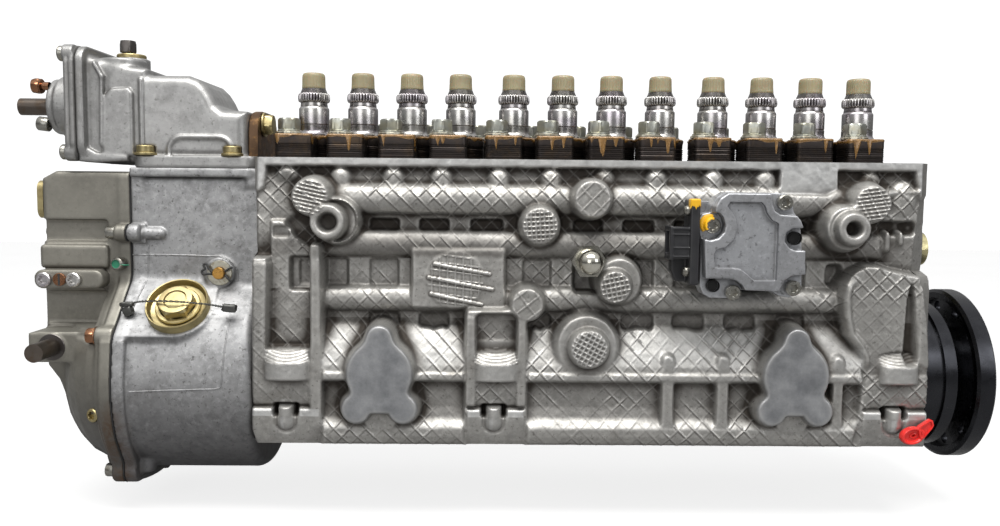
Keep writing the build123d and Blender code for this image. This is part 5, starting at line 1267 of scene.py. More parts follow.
NP = 300
PR = plan_radius(NP)
TH = np.arange(NP) * 2 * math.pi / NP
Bf, Bv = Rings(), Rings()
for k, ex in enumerate(ELEMENT_X):
    r = np.random.default_rng(100 + k)
    one = np.ones(NP)
    rows = [(12.9 * one, 150.6, 0), (PR - 0.9, 150.6, 0), (PR - 0.3, 151.0, 0)]
    for zz in (152.4, 153.9, 155.3, 156.6, 157.9, 159.2, 160.5):
        o1, o2 = 0.12 * r.normal(), 0.12 * r.normal()
        rows += [(PR + 0.06 + o1, zz - 0.3, 0), (PR - 0.45, zz - 0.1, 0.6), (PR - 0.45, zz + 0.1, 0.6), (PR + 0.06 + o2, zz + 0.3, 0)]
    rows += [(PR + 0.1, 166.0, 0), (PR - 0.3, 166.75, 0), (PR - 1.0, 167.0, 0), (15.5 * one, 167.0, 0.2), (12.4 * one, 167.0, 0.5)]
    Bf.add(ex, 0, rows)
    # varnish that ran over the top edge and set in a wavy band
    ph = r.random(6) * 6.28
    low = 165.1 + 0.45 * np.sin(5 * TH + ph[0]) + 0.4 * np.sin(9 * TH + ph[1]) + 0.35 * np.sin(17 * TH + ph[2])
    for q in range(4):
        t0 = math.radians(r.choice([-100, 80])) + r.uniform(-0.35, 0.35)
        dt = np.abs((TH - t0 + math.pi) % (2 * math.pi) - math.pi)
        low = low - r.uniform(2.5, 9.5) * np.exp(-(dt / r.uniform(0.018, 0.04)) ** 4)
    thick = 0.34 + 0.12 * np.sin(11 * TH + ph[3])
    inn = 3.4 + 1.2 * np.sin(6 * TH + ph[4])
    Bv.add(ex, 0, [(PR - inn, 166.95, 0), (PR - inn + 0.5, 167.25, 0), (PR - 0.6, 167.35, 0), (PR + thick * 0.6, 166.9, 0), (PR + thick + 0.15, 166.2, 0),
                   (PR + thick, np.minimum(low + 0.8, 166.0), 0), (PR + thick * 0.8, low + 0.15, 0), (PR - 0.2, low - 0.1, 0)])
ob = Bf.obj("deck_flanges_shimmed", 32)
place(ob, MAT["ear"], "pump", "barrel_flanges", "barrel_flanges")
ob = Bv.obj("varnish_beads", 60)
MAT["varnish"] = plain_metal("varnish_amber", (0.20, 0.105, 0.028), (0.14, 0.34), metallic=0.35, dirt=(0.05, 0.03, 0.015), dirt_amount=0.75, scale=160, bump=0.5, coat=0.6)
place(ob, MAT["varnish"], "pump", "barrel_flanges")

# -------------------------------------------------- delivery valve holders
NH = 34 * 8
TK = np.arange(NH) * 2 * math.pi / NH
Bh, Bc = Rings(), Rings()
rng = np.random.default_rng(5)
knurl_wave = np.abs(2 * ((TK * 34 / (2 * math.pi)) % 1.0) - 1)
gap = np.clip((knurl_wave - 0.35) / 0.5, 0, 1)
for k, ex in enumerate(ELEMENT_X):
    one = np.ones(NH)
    # third value of each row is painted shade: in the grooves, under the knurled ring, between the neck's ribs and
    # down the bore, and a darker lower collar
    rows = [(7.3 * one, 166.2, 0.6), (12.3 * one, 166.8, 0.5), (12.55 * one, 167.6, 0.35), (12.5 * one, 168.6, 0.3), (11.6 * one, 169.6, 0.3), (10.9 * one, 170.6, 0.35),
            (10.7 * one, 171.6, 0.4), (10.7 * one, 173.4, 0.42), (10.7 * one, 175.0, 0.4), (10.35 * one, 175.35, 0.75), (10.35 * one, 175.6, 0.75), (10.65 * one, 175.95, 0.1),
            (10.65 * one, 181.0, 0.0), (10.65 * one, 186.4, 0.0), (10.5 * one, 187.1, 0.1), (9.75 * one, 188.0, 0.45), (9.55 * one, 188.3, 0.8), (9.6 * one, 188.7, 0.3), (9.35 * one, 190.4, 0.25), (9.3 * one, 191.2, 0.85)]
    # knurled ring, with painted shade in its gaps
    for rr, zz, dd in ((9.9, 191.35, 0.0), (10.7, 191.8, 0.6), (11.1, 192.5, 0.95), (11.25, 193.6, 1.0), (11.25, 195.4, 1.0), (11.05, 196.6, 0.95), (10.5, 197.4, 0.6), (9.7, 197.8, 0.0)):
        rows.append((rr - 0.95 * dd * gap, zz, 0.95 * gap * dd))
    z0, z1 = 197.9, 201.2
    for q in range(9):
        t = q / 8
        rr = 9.5 - 1.35 * t + (0.22 if q % 2 else -0.12)
        rows.append((rr * one, z0 + (z1 - z0) * t, 0.15 if q % 2 else 0.7))
    rows += [(7.0 * one, 201.4, 0.5), (6.9 * one, 208.6, 0), (6.0 * one, 209.6, 0), (2.2 * one, 209.6, 0), (2.0 * one, 200.0, 1.0), (0.05 * one, 200.0, 1.0)]
    Bh.add(ex, 0, rows)
    rib = 0.07 * np.cos(34 * TK)
    lean = rng.normal(0, 0.35, 2)
    w0, w1 = rng.normal(0, 0.12), rng.normal(0, 0.1)
    c0 = 0.25 + 0.3 * rng.random()
    Bc.add(ex + lean[0] * 0.3, lean[1] * 0.3, [(7.1 * one, 201.35, 0.6), (8.05 + rib * 0.3, 201.0, 0.5), (8.3 + rib * 0.5, 201.5, 0.35), (8.15 + rib, 202.4, c0), (8.1 + w0 + rib, 206.0, c0 * 0.5),
                     (8.05 + w0 + rib, 209.0, 0.0), (7.9 + w0 + rib * 0.5, 210.5, 0), (7.4 + w0 * one, 211.5, 0), (6.5 * one, 211.95, 0), (5.9 * one, 211.95, 0), (5.3 * one, 211.5 + w1, 0.2), (3.0 * one, 211.4 + w1, 0.2), (0.05 * one, 211.4 + w1, 0.2)])
ob = Bh.obj("delivery_valve_holders_turned", 32)
place(ob, MAT["holder"], "pump", "delivery_valve_holders", "delivery_valve_holders")
ob = Bc.obj("outlet_caps_ribbed", 55)
place(ob, MAT["cap"], "pump", "protective_caps", "protective_caps")

# --------------------------------------------------------- flange bolts
B, Bw = Build(), Build()
for k, ex in enumerate(ELEMENT_X):
    r = np.random.default_rng(300 + k)
    for s in (-1, 1):
        at = (ex + s * BOLT_DX, s * BOLT_DY, 168.9)
        hexhead(B, at, (0, 0, 1), 7.75, 7.9, washer=(7.9, 1.4), spin=r.random() * 1.0, dome=1.0)
        ph = r.random() * 6.28
        lathe(Bw, [(5.0, 167.02), (8.4, 167.02), (8.9, 167.4), (8.9, 168.5), (8.4, 168.98), (5.0, 168.98)], (at[0], at[1], 0), n=60,
              rad=lambda th, rr, z, ph=ph: rr + (0.28 * max(-0.3, math.sin(12 * th + ph)) if rr > 8 else 0))
ob = B.obj("flange_bolt_heads", 24)
place(ob, MAT["bolt"], "pump", "flange_bolts", "flange_bolts")
ob = Bw.obj("flange_bolt_washers", 28)
place(ob, MAT["washer"], "pump", "flange_washers", "flange_washers")

def tube(B, pts, r, n=10, cap=True):
    P = [Vector(p) for p in pts]
    T = [(P[min(i + 1, len(P) - 1)] - P[max(i - 1, 0)]).normalized() for i in range(len(P))]
    u = T[0].orthogonal().normalized()
    V, F = [], []
    for p, t in zip(P, T):
        u = (u - t * u.dot(t)).normalized()
        w = t.cross(u)
        for j in range(n):
            a = 2 * math.pi * j / n
            V.append(p + u * (r * math.cos(a)) + w * (r * math.sin(a)))
    for i in range(len(P) - 1):
        for j in range(n):
            k2 = (j + 1) % n
            F.append((i * n + j, i * n + k2, (i + 1) * n + k2, (i + 1) * n + j))
    if cap:
        F.append(tuple(range(n))[::-1])
        F.append(tuple((len(P) - 1) * n + j for j in range(n)))
    B.add(V, F)


def catmull(pts, per=14):
    P = [Vector(p) for p in pts]
    P = [P[0] * 2 - P[1]] + P + [P[-1] * 2 - P[-2]]
    out = []
    for i in range(1, len(P) - 2):
        for s in range(per):
            t = s / per
            out.append(0.5 * (2 * P[i] + (P[i + 1] - P[i - 1]) * t + (2 * P[i - 1] - 5 * P[i] + 4 * P[i + 1] - P[i + 2]) * t * t
                              + (3 * P[i] - P[i - 1] - 3 * P[i + 1] + P[i + 2]) * t ** 3))
    out.append(P[-2])
    return out


# ------------------------------------------------------------ plug and cup
B = Build()
P = Vector(PAD_O)
N = Vector(PAD_N).normalized()
lathe(B, [(12.3, 1.2), (12.3, 0.9), (16.0, 0.9), (18.0, 1.5), (18.9, 2.8), (19.2, 5.2), (19.5, 6.0), (20.2, 6.2), (20.6, 5.7), (20.6, 1.0), (20.9, 0.0), (20.2, -0.3)], P, N, 72)
ob = B.obj("plug_cup_drawn", 30)
place(ob, MAT["gold"], "pump", "plug_cup", "plug_cup")
B = Build()
lathe(B, [(0, -9), (11.7, -9), (11.9, 1.4), (14.2, 1.5), (14.8, 2.0), (14.8, 3.0), (14.2, 3.5), (12.0, 3.5)], P, N, 60)
hexhead(B, P + N * 3.4, N, 12.8, 6.6, spin=0.17, dome=1.5, recess=7.6)
lathe(B, [(0, 8.9), (6.9, 8.9), (7.0, 9.4), (6.6, 9.6), (0, 9.6)], P, N, 40)
ob = B.obj("governor_plug_hex", 26)
place(ob, MAT["gold"], "pump", "governor_plug", "governor_plug")

# --------------------------------------------------------- cover screws
B = Build()
for y, z in SHOWN_SCREWS:
    if (y, z) == (-58.5, 31.5):
        continue
    lathe(B, [(0, 0), (4.4, 0), (4.6, 0.3), (4.6, 5.0), (4.2, 5.9), (2.7, 6.0), (2.5, 3.2), (0, 3.2)], (-596.5, y, z), (-1, 0, 0), 36)
    lathe(B, [(2.5, -13), (2.5, 0.2)], (-596.5, y, z), (-1, 0, 0), 20)
ob = B.obj("cover_screw_heads", 30)
place(ob, MAT["screw"], "pump", "cover_screws", "cover_screws")
B = Build()
hexhead(B, (-600.2, -58.5, 31.5), (-1, 0, 0), 5.6, 5.4, washer=(6.2, 1.2), spin=0.3, dome=1.2)
lathe(B, [(2.5, -13), (2.5, 0.2)], (-597.5, -58.5, 31.5), (-1, 0, 0), 20)
ob = B.obj("cover_screw_coppered", 30)
place(ob, MAT["copper"], "pump", "cover_screws")
# marked screw at the joint, painted across its face
B = Build()
lathe(B, [(0, -4), (4.3, -4), (4.5, 0.4), (4.4, 2.0), (3.8, 2.8), (2.9, 2.9)], (-595.0, -36.2, 77.6), (-0.1, -0.99, 0.03), 40)
ob = B.obj("joint_screw_rim", 30)
place(ob, MAT["screw"], "pump", "cover_screws")
B = Build()
lathe(B, [(2.9, 2.9), (2.6, 2.2), (0, 2.1)], (-595.0, -36.2, 77.6), (-0.1, -0.99, 0.03), 32)
tube(B, catmull([(-592.6, -39.2, 77.4), (-589.6, -38.0, 76.9), (-587.9, -35.4, 76.8)], 6), 0.5, 6)
ob = B.obj("joint_screw_mark", 60)
place(ob, MAT["green"], "pump", "cover_screws")

B = Build()
for x in (-642.0, -622.0):
    torx(B, (x, -41.9, 67.2), (0, -1, 0), 4.9, 3.6, rin=2.6)
ob = B.obj("stop_block_socket_screws", 30)
place(ob, MAT["holder"], "pump", "stop_block_screws", "stop_block_screws")
B = Build()
lathe(B, [(0, 0), (4.4, 0), (4.4, 1.0), (4.1, 1.4), (0, 1.4)], (-632.0, -42.0, 67.2), (0, -1, 0), 36)
V = [(-632.6, -43.45, 63.2), (-631.4, -43.45, 63.2), (-631.4, -43.45, 71.2), (-632.6, -43.45, 71.2)]
ob = B.obj("stop_block_slotted", 30)
place(ob, MAT["copper"], "pump", "stop_block_screws")
# a black bar across the head: painted shade standing in for its slot
B = Build()
V = [(x, y, z) for x in (-632.65, -631.35) for y in (-43.6, -43.2) for z in (63.3, 71.1)]
B.add(V, [(0, 1, 3, 2), (4, 6, 7, 5), (0, 4, 5, 1), (2, 3, 7, 6), (0, 2, 6, 4), (1, 5, 7, 3)])
ob = B.obj("stop_block_slot", 30)
place(ob, MAT["gasket"], "pump", "stop_block_screws")

# ---------------------------------------------------------- sensor screws
B = Build()
for a, b, dy in ((1200, 165, 0), (540, 380, -1.4), (725, 990, 0), (1275, 945, 0)):
    torx(B, (sx(a, b), -80.4, sz(b)), (0, -1, 0), 4.9, 4.4, rin=2.5)
for zz in (118.2, 79.6):
    lathe(B, [(0, 0), (3.2, 0), (3.4, 0.4), (3.3, 2.2), (2.2, 3.4), (0, 3.8)], (-214.7, -81.0, zz), (-1, 0, 0), 32)
ob = B.obj("sensor_socket_screws", 30)
place(ob, MAT["screw"], "pump", "sensor_screws", "sensor_screws")

# dark cups in the two through holes: painted shade standing in for the dark depth behind them
B = Build()
for a, b, r0 in ((1294, 490, 4.15), (545, 930, 3.95)):
    lathe(B, [(0, -78.6 + 78.6), (r0, 0.0), (r0, 5.2)], (sx(a, b), -78.6, sz(b)), (0, -1, 0), 32)
ob = B.obj("sensor_hole_painted_shade", 60)
place(ob, MAT["gasket"], "pump", "sensor_cover")

# sealing paint over the left side of the upper left screw
B = Build()
pcx, pcz = sx(540, 380), sz(380)
rows = [(8.0, -79.4), (8.1, -80.9), (7.4, -81.5), (5.7, -81.6), (5.3, -82.6), (5.2, -84.2), (4.9, -84.95), (4.2, -85.05), (3.6, -84.95)]
V, F, nn2 = [], [], 28
for i in range(nn2 + 1):
    t = i / nn2
    an = math.radians(84 + 132 * t)
    trim = 1.0 - 0.35 * abs(math.sin(t * 9.0)) * (1 if 0.08 < t < 0.92 else 0.4)
    for r0, y0 in rows:
        rr0 = r0 - (r0 - 5.6) * 0.5 * (1 - math.sin(math.pi * t)) if r0 > 5.6 else (r0 if r0 > 5.0 else 5.0 - (5.0 - r0) * trim)
        V.append((pcx + rr0 * math.cos(an), y0, pcz + rr0 * math.sin(an)))
for i in range(nn2):
    for j in range(len(rows) - 1):
        k0 = i * len(rows) + j
        F.append((k0, k0 + len(rows), k0 + len(rows) + 1, k0 + 1))
B.add(V, F)
ob = B.obj("screw_sealing_paint", 60)
place(ob, MAT["paint"], "pump", "sensor_screws")

# ---------------------------------------------- transport plug, rack end plug
B = Build()
V, F = [], []
ring = [(1.0, -66.2), (1.04, -68.2), (1.0, -70.2), (0.9, -71.0), (0.78, -70.9), (0.66, -70.0), (0.6, -68.8), (0.34, -68.6), (0.30, -69.3), (0.22, -69.5), (0.16, -69.0), (0.12, -66.6), (0.0, -66.6)]
nn2 = 40
for q, y0 in ring:
    for j in range(nn2):
        an = 2 * math.pi * j / nn2
        V.append((-59.9 + q * 7.7 * math.cos(an) + (0.9 if q < 0.5 else 0) * (1 - q), y0, -29.6 + q * 5.7 * math.sin(an) + q * 1.1 * math.cos(an)))
for i in range(len(ring) - 1):
    for j in range(nn2):
        k2 = (j + 1) % nn2
        F.append((i * nn2 + j, i * nn2 + k2, (i + 1) * nn2 + k2, (i + 1) * nn2 + j))
B.add(V, F)
V, F = [], []
for j in range(24):
    an = 2 * math.pi * j / 24
    V.append((-58.6 + 3.9 * math.cos(an), -52.0, -29.4 + 3.9 * math.sin(an)))
for j in range(24):
    an = 2 * math.pi * j / 24
    V.append((-58.6 + 3.9 * math.cos(an), -66.8, -29.4 + 3.9 * math.sin(an)))
for j in range(24):
    k2 = (j + 1) % 24
    F.append((j, k2, 24 + k2, 24 + j))
F.append(tuple(range(24)))
B.add(V, F)


def tab(B, pts, levels):
    """A flat piece cut to an outline: levels are (scale, y)."""
    n = len(pts)
    cx0, cz0 = sum(a for a, b in pts) / n, sum(b for a, b in pts) / n
    V, F = [], []
    for q, y0 in levels:
        V += [(cx0 + q * (a - cx0), y0, cz0 + q * (b - cz0)) for a, b in pts]
    for i in range(len(levels) - 1):
        for j in range(n):
            k2 = (j + 1) % n
            F.append((i * n + j, i * n + k2, (i + 1) * n + k2, (i + 1) * n + j))
    F.append(tuple(range(n))[::-1])
    F.append(tuple((len(levels) - 1) * n + j for j in range(n)))
    B.add(V, F)


tab(B, [(-57.0, -24.6), (-55.6, -22.8), (-49.0, -18.3), (-47.4, -18.9), (-46.6, -22.0), (-47.6, -24.0), (-53.0, -31.0), (-55.4, -31.6)],
    [(0.94, -66.6), (1.0, -67.2), (1.0, -70.4), (0.95, -71.0), (0.8, -71.0), (0.72, -69.9)])
ob = B.obj("transport_plug_tabbed", 35)
place(ob, MAT["red"], "pump", "red_plug", "red_plug")
B = Build()
lathe(B, [(7.9, -5), (7.9, -0.4), (12.6, -0.3), (13.0, 0.2), (13.0, 2.4), (12.6, 3.0), (8, 3.0)], (-47.5, 19.0, 89.5), (1, 0, 0), 48)
hexhead(B, (-44.5, 19.0, 89.5), (1, 0, 0), 14.4, 27.6, spin=RACK_SPIN, dome=5.5)
ob = B.obj("rack_end_plug_hex", 26)
place(ob, MAT["brass"], "pump", "rack_end_plug", "rack_end_plug")

# ------------------------------------------------------ twisted seal wire
WIRE = [(-578.6, -54.4, 53.2), (-569.5, -57.2, 54.6), (-549.2, -60.2, 55.1), (-528.0, -57.5, 53.0), (-517.0, -56.2, 51.0)]


B = Build()
mid = catmull(WIRE, 30)
for s in (0, math.pi):
    pts = []
    for i, p in enumerate(mid):
        t = (mid[min(i + 1, len(mid) - 1)] - mid[max(i - 1, 0)]).normalized()
        u = t.cross(Vector((0, 0, 1))).normalized()
        w = t.cross(u)
        a = i * 0.62 + s
        pts.append(p + u * (0.42 * math.cos(a)) + w * (0.42 * math.sin(a)))
    tube(B, pts, 0.36, 8)
for cx, cy, cz, sx1, sy1, sz1, ang in ((-582.0, -54.4, 52.2, 9.0, 4.2, 3.2, 3), (-581.2, -54.4, 47.6, 6.4, 5.0, 6.4, 25), (-513.5, -56.4, 50.4, 9.4, 4.4, 5.2, -6)):
    ca, sa = math.cos(math.radians(ang)), math.sin(math.radians(ang))
    V, F, m = [], [], 12
    r = np.random.default_rng(int(abs(cx) * 10 + cz))
    for i in range(m + 1):
        ph = math.pi * i / m
        for j in range(20):
            th = 2 * math.pi * j / 20
            e = 0.45
            sx0 = math.copysign(abs(math.sin(ph)) ** e, 1) * math.copysign(abs(math.cos(th)) ** e, math.cos(th))
            sy0 = math.copysign(abs(math.sin(ph)) ** e, 1) * math.copysign(abs(math.sin(th)) ** e, math.sin(th))
            sz0 = math.copysign(abs(math.cos(ph)) ** e, math.cos(ph))
            k3 = 0.5 * (1 + 0.07 * r.normal())
            x, y, z = sx0 * sx1 * k3, sy0 * sy1 * k3, sz0 * sz1 * k3
            V.append((cx + ca * x - sa * z, cy + y, cz + sa * x + ca * z))
    for i in range(m):
        for j in range(20):
            k2 = (j + 1) % 20
            F.append((i * 20 + j, (i + 1) * 20 + j, (i + 1) * 20 + k2, i * 20 + k2))
    B.add(V, F)
ob = B.obj("seal_wire_twisted", 50)
place(ob, MAT["lead"], "pump", "seal_wire", "seal_wire")

# ------------------------------------------- raised lines of the casting die
from mathutils.bvhtree import BVHTree


def bvh_of(ob):
    me = ob.data
    n = len(me.vertices)
    co = np.empty(n * 3, dtype=np.float32)
    me.vertices.foreach_get("co", co)
    polys = [tuple(p.vertices) for p in me.polygons]
    return BVHTree.FromPolygons([Vector(c) for c in co.reshape(-1, 3).tolist()], polys)


gb = bvh_of(gov)


def on_front(tree, x, z, off=0.0):
    hit = tree.ray_cast(Vector((x * MM, -0.3, z * MM)), Vector((0, 1, 0)))
    return None if hit[0] is None else Vector((x, hit[0].y / MM + off, z))


def seam(B, tree, pts, r=0.6, per=16):
    out = []
    for p in catmull([(a, 0, b) for a, b in pts], per):
        q = on_front(tree, p.x, p.z, 0.1)
        if q is not None:
            out.append(q)
    if len(out) > 2:
        tube(B, out, r, 6)


B = Build()
seam(B, gb, [(-587.0, 83.4), (-570, 83.6), (-550, 83.4), (-536, 83.0), (-527, 82.6), (-520, 79.5), (-515.6, 73.5), (-515.0, 66)])
seam(B, gb, [(-576.2, 90.5), (-576.2, 84), (-576.6, 77), (-577.2, 70)])
seam(B, gb, [(-577.4, 66), (-579.5, 55), (-580.5, 46)])
seam(B, gb, [(-577.0, -4.2), (-555, -3.2), (-530, -2.2), (-519.5, -1.6), (-516.6, 1.5), (-515.8, 14), (-515.0, 30), (-514.4, 42)])
ob = B.obj("casting_lines", 60)
place(ob, MAT["governor"], "pump", "governor_housing")

# socket screw seated in the flank of the cover
cb = bvh_of(cov)
hit = cb.ray_cast(Vector((-0.6027, -0.3, -0.0211)), Vector((0, 1, 0)))
fp0, fn0 = hit[0] / MM, Vector((-0.38, -0.92, 0.02)).normalized()
B = Build()
lathe(B, [(4.9, -3.0), (6.3, -2.0), (6.5, 0.2), (6.2, 0.7), (4.9, 0.8)], fp0, fn0, 40)
ob = B.obj("cover_flank_boss", 40)
place(ob, MAT["cover"], "pump", "governor_cover")
B = Build()
torx(B, fp0 - fn0 * 1.2, fn0, 4.6, 3.6, rin=2.6)
ob = B.obj("cover_flank_screw", 30)
place(ob, MAT["gold"], "pump", "cover_screws")

# ---------------------------------------------------- fulcrum pin and clip
B = Build()
lathe(B, [(4.4, 0), (8.3, 0), (8.6, 0.4), (8.6, 1.2), (8.3, 1.6), (4.4, 1.6), (4.4, 0)], (-526.2, -34.1, 71.8), (0, -1, 0), 40)
ob = B.obj("fulcrum_washer", 30)
place(ob, MAT["washer"], "pump", "fulcrum_pin", "fulcrum_pin")
B = Build()
lathe(B, [(4.1, -20), (4.1, 4.4), (3.7, 4.9), (0, 4.9)], (-526.2, -34.1, 71.8), (0, -1, 0), 32)
MAT["amber"] = plain_metal("pin_amber", (0.60, 0.33, 0.09), (0.24, 0.36), dirt=(0.3, 0.17, 0.06), dirt_amount=0.3, scale=200)
ob = B.obj("fulcrum_pin_end", 30)
place(ob, MAT["amber"], "pump", "fulcrum_pin")
B = Build()
cx, cz = -526.2, 71.8
tube(B, catmull([(cx + 4.6, -38.0, cz + 1.4), (cx + 7.6, -38.2, cz + 3.4), (cx + 9.6, -37.6, cz + 4.2)], 6), 0.8, 8)
tube(B, catmull([(cx + 4.6, -38.0, cz - 1.2), (cx + 6.6, -38.2, cz - 3.6), (cx + 8.6, -37.6, cz - 5.6)], 6), 0.8, 8)
tube(B, catmull([(cx - 4.3, -38.0, cz + 0.7), (cx - 6.6, -38.1, cz + 3.4), (cx - 8.0, -38.0, cz + 6.4), (cx - 10.0, -37.9, cz + 5.6), (cx - 9.0, -37.9, cz + 3.0), (cx - 11.2, -37.9, cz + 1.4), (cx - 10.2, -37.9, cz - 0.8), (cx - 7.2, -38.0, cz - 0.4), (cx - 4.3, -38.0, cz - 0.5)], 8), 0.8, 8)
ob = B.obj("fulcrum_split_pin", 50)
place(ob, MAT["gasket"], "pump", "fulcrum_pin")

# -------------------------------------------------- ring round the control shaft
B = Build()
lathe(B, [(6.02, 22.8 - 78), (8.6, 22.8 - 78), (9.0, 23.2 - 78), (9.0, 24.6 - 78 + 1.0)], (-632.6, 0, 23.0), (0, 1, 0), 48)
ob = B.obj("shaft_seal_ring", 30)
place(ob, MAT["dark_steel"], "pump", "governor_cover")

# ---------------------------------------------- actuator bolts, cap, screws
B = Build()
for x in (-576.8, -517.8):
    for y in (-30.0, 38.0):
        lathe(B, [(3.0, 0), (7.2, 0), (7.4, 0.3), (7.4, 1.5), (7.1, 1.8), (3.0, 1.8)], (x, y, 151.82), (0, 0, 1), 36)
        lathe(B, [(0, 1.8), (5.6, 1.8), (5.9, 2.2), (5.9, 5.9), (5.4, 6.5), (2.8, 6.5), (2.7, 4.2), (0, 4.2)], (x, y, 151.82), (0, 0, 1), 36)
ob = B.obj("actuator_base_screws", 30)
place(ob, MAT["gold"], "pump", "compensator_screws", "compensator_screws")
B = Build()
for y in (-31, 35):
    for z in (153.4, 219.4):
        lathe(B, [(0, 0), (5.0, 0), (5.2, 0.4), (5.2, 3.0), (4.6, 3.8), (2.6, 3.8), (2.5, 1.6), (0, 1.6)], (-629.2, y, z), (-1, 0, 0), 36)
ob = B.obj("actuator_cover_screws", 30)
place(ob, MAT["screw"], "pump", "compensator_screws")
# bolt through the round-topped bracket at the drive side of the actuator
B = Build()
hexhead(B, (-501.4, -9.0, 174.8), (1, 0, 0), 7.6, 5.6, washer=(8.6, 1.6), spin=0.2, dome=1.6)
ob = B.obj("bracket_bolt_gold", 26)
place(ob, MAT["gold"], "pump", "compensator_screws")
pts = [(-25.5, 151.9), (31.5, 151.9), (31.5, 168.0), (29.0, 176.0), (22.0, 181.6), (12.0, 184.0), (-8.0, 184.0), (-17.0, 182.0), (-23.4, 176.6), (-25.5, 169.0)]
B = Build()
V, F = [], []
m = len(pts)
for x, k in ((-507.9, 0.985), (-507.2, 1.0), (-502.4, 1.0), (-501.6, 0.985)):
    for y, z in pts:
        V.append((x, 3 + (y - 3) * k, 166 + (z - 166) * k))
for i in range(3):
    for j in range(m):
        q = (j + 1) % m
        F.append((i * m + j, i * m + q, (i + 1) * m + q, (i + 1) * m + j))
F.append(tuple(range(m))[::-1])
F.append(tuple(3 * m + j for j in range(m)))
B.add(V, F)
ob = B.obj("actuator_end_bracket", 30)
place(ob, MAT["brown"], "pump", "end_bracket", "end_bracket")
# stop screws
B = Build()
hexhead(B, (-653.6, -14, 199.5), (-1, 0, 0), 5.6, 5.2, washer=(5.0, 1.0), spin=0.1, dome=2.2)
lathe(B, [(2.9, 0), (2.9, 6)], (-648.5, -14, 199.5), (-1, 0, 0), 24)
ob = B.obj("stop_screw_upper", 40)
place(ob, MAT["copper"], "pump", "stop_screws", "stop_screws")
B = Build()
lathe(B, [(0, 0), (4.6, 0), (4.9, 0.4), (4.9, 7.2), (4.4, 7.8), (2.2, 7.9), (2.0, 5.6), (0, 5.6)], (-650.0, -12.5, 173.0), (-1, 0, 0.12), 36)
lathe(B, [(0, 0), (3.6, 0), (3.8, 0.4), (3.8, 3.2), (3.0, 3.8), (1.8, 3.9), (1.6, 2.4), (0, 2.4)], (-648.6, -15, 98.5), (-1, 0, 0), 36)
ob = B.obj("stop_screw_lower", 40)
place(ob, MAT["screw"], "pump", "stop_screws")
B = Build()
lathe(B, [(0, 219.6), (9.4, 219.6), (9.9, 220.2), (10.0, 220.8), (10.0, 223.2), (9.5, 223.9), (8.2, 224.1), (6.5, 224.0), (0, 224.0)], (-598, 3, 0), n=48)
ob = B.obj("actuator_cap_plated", 30)
place(ob, MAT["gold"], "pump", "compensator_cap", "compensator_cap")
B = Build()
hexhead(B, (-600.4, 3, 223.8), (0, 0, 1), 3.6, 2.2, spin=0.3)
hexhead(B, (-600.4, 3, 225.6), (0, 0, 1), 6.0, 8.2, spin=0.55, dome=2.2, recess=2.6)
ob = B.obj("bleed_screw_head", 30)
place(ob, MAT["dark_steel"], "pump", "bleed_screw", "bleed_screw")

# -------------------------------------------------------------------- stage
floor = mesh_object("floor", np.array([(-3000, -2500, -92), (2400, -2500, -92), (2400, 3000, -92), (-3000, 3000, -92)]), [(0, 1, 2, 3)], smooth=False)
fm = Nodes("floor_white")
fm.set(Metallic=0.0, Roughness=0.7, Alpha=0.3)
fm.color(fm.ramp(fm.noise(3, 2), [(0.3, 0.86), (0.7, 0.9)]))
floor.data.materials.append(fm.mat)

world = bpy.data.worlds.new("studio")
scene.world = world
world.use_nodes = True
wt = world.node_tree
wn, wl = wt.nodes, wt.links
wtc, wsp, wlp = wn.new("ShaderNodeTexCoord"), wn.new("ShaderNodeSeparateXYZ"), wn.new("ShaderNodeLightPath")
wl.new(wtc.outputs["Generated"], wsp.inputs[0])
wmp = wn.new("ShaderNodeMapRange")
wmp.interpolation_type = "SMOOTHSTEP"
wmp.inputs["From Min"].default_value, wmp.inputs["From Max"].default_value = -0.15, 0.85
wmp.inputs["To Min"].default_value, wmp.inputs["To Max"].default_value = 0.06, 0.85
wl.new(wsp.outputs["Z"], wmp.inputs["Value"])
wbg = wn["Background"]
wl.new(wmp.outputs[0], wbg.inputs[0])
wbg.inputs[1].default_value = 1.0
wwh = wn.new("ShaderNodeBackground")
wwh.inputs[0].default_value, wwh.inputs[1].default_value = (1, 1, 1, 1), 1.12
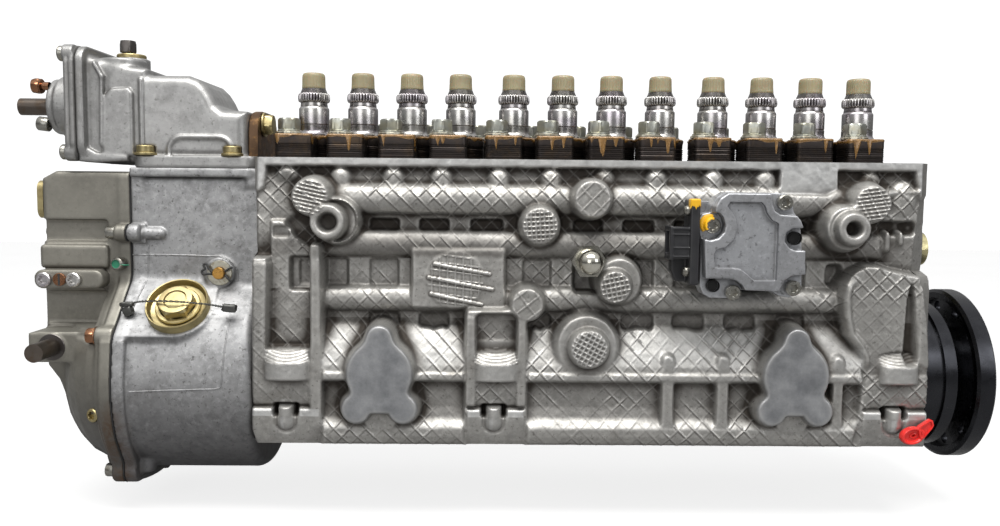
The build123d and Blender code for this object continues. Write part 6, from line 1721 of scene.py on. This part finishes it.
wmx = wn.new("ShaderNodeMixShader")
wl.new(wlp.outputs["Is Camera Ray"], wmx.inputs[0])
wl.new(wbg.outputs[0], wmx.inputs[1])
wl.new(wwh.outputs[0], wmx.inputs[2])
wl.new(wmx.outputs[0], wn["World Output"].inputs[0])


def area(name, loc, target, size, power, color=(1, 1, 1), size_y=None):
    data = bpy.data.lights.new(name, "AREA")
    data.shape = "RECTANGLE"
    data.size, data.size_y = size, size_y or size
    data.energy, data.color = power, color
    ob = bpy.data.objects.new(name, data)
    scene.collection.objects.link(ob)
    ob.location = loc
    ob.rotation_euler = (Vector(target) - Vector(loc)).to_track_quat("-Z", "Y").to_euler()
    return ob


area("key_top", (-0.38, -0.50, 1.22), (-0.34, 0.0, 0.05), 1.3, 23, (1.0, 0.99, 0.965), 0.5)
area("front_fill", (-0.9, -1.6, 0.55), (-0.34, 0.0, 0.05), 0.9, 5, (1, 1, 1))
area("side_fill", (0.9, -1.1, 0.7), (-0.2, 0.0, 0.05), 0.7, 5, (0.97, 0.98, 1))

# ------------------------------------------------------------------- camera
yaw, pitch, roll = math.radians(0.673), math.radians(-4.598), math.radians(0.54)
fwd = Vector((math.sin(yaw) * math.cos(pitch), math.cos(yaw) * math.cos(pitch), math.sin(pitch)))
rt = Vector((math.cos(yaw), -math.sin(yaw), 0))
up = rt.cross(fwd)
r2 = math.cos(roll) * rt + math.sin(roll) * up
u2 = -math.sin(roll) * rt + math.cos(roll) * up
cam_data = bpy.data.cameras.new("camera")
cam_data.sensor_width = 36.0
cam_data.lens = 36.0 * 874.589 / 1000.0
cam_data.clip_start, cam_data.clip_end = 0.01, 50
cam = bpy.data.objects.new("camera", cam_data)
scene.collection.objects.link(cam)
cam.matrix_world = Matrix(((r2.x, u2.x, -fwd.x, -0.34097), (r2.y, u2.y, -fwd.y, -0.63465), (r2.z, u2.z, -fwd.z, 0.12850), (0, 0, 0, 1)))
scene.camera = cam
scene.view_settings.view_transform = "Standard"
scene.view_settings.look = "None"
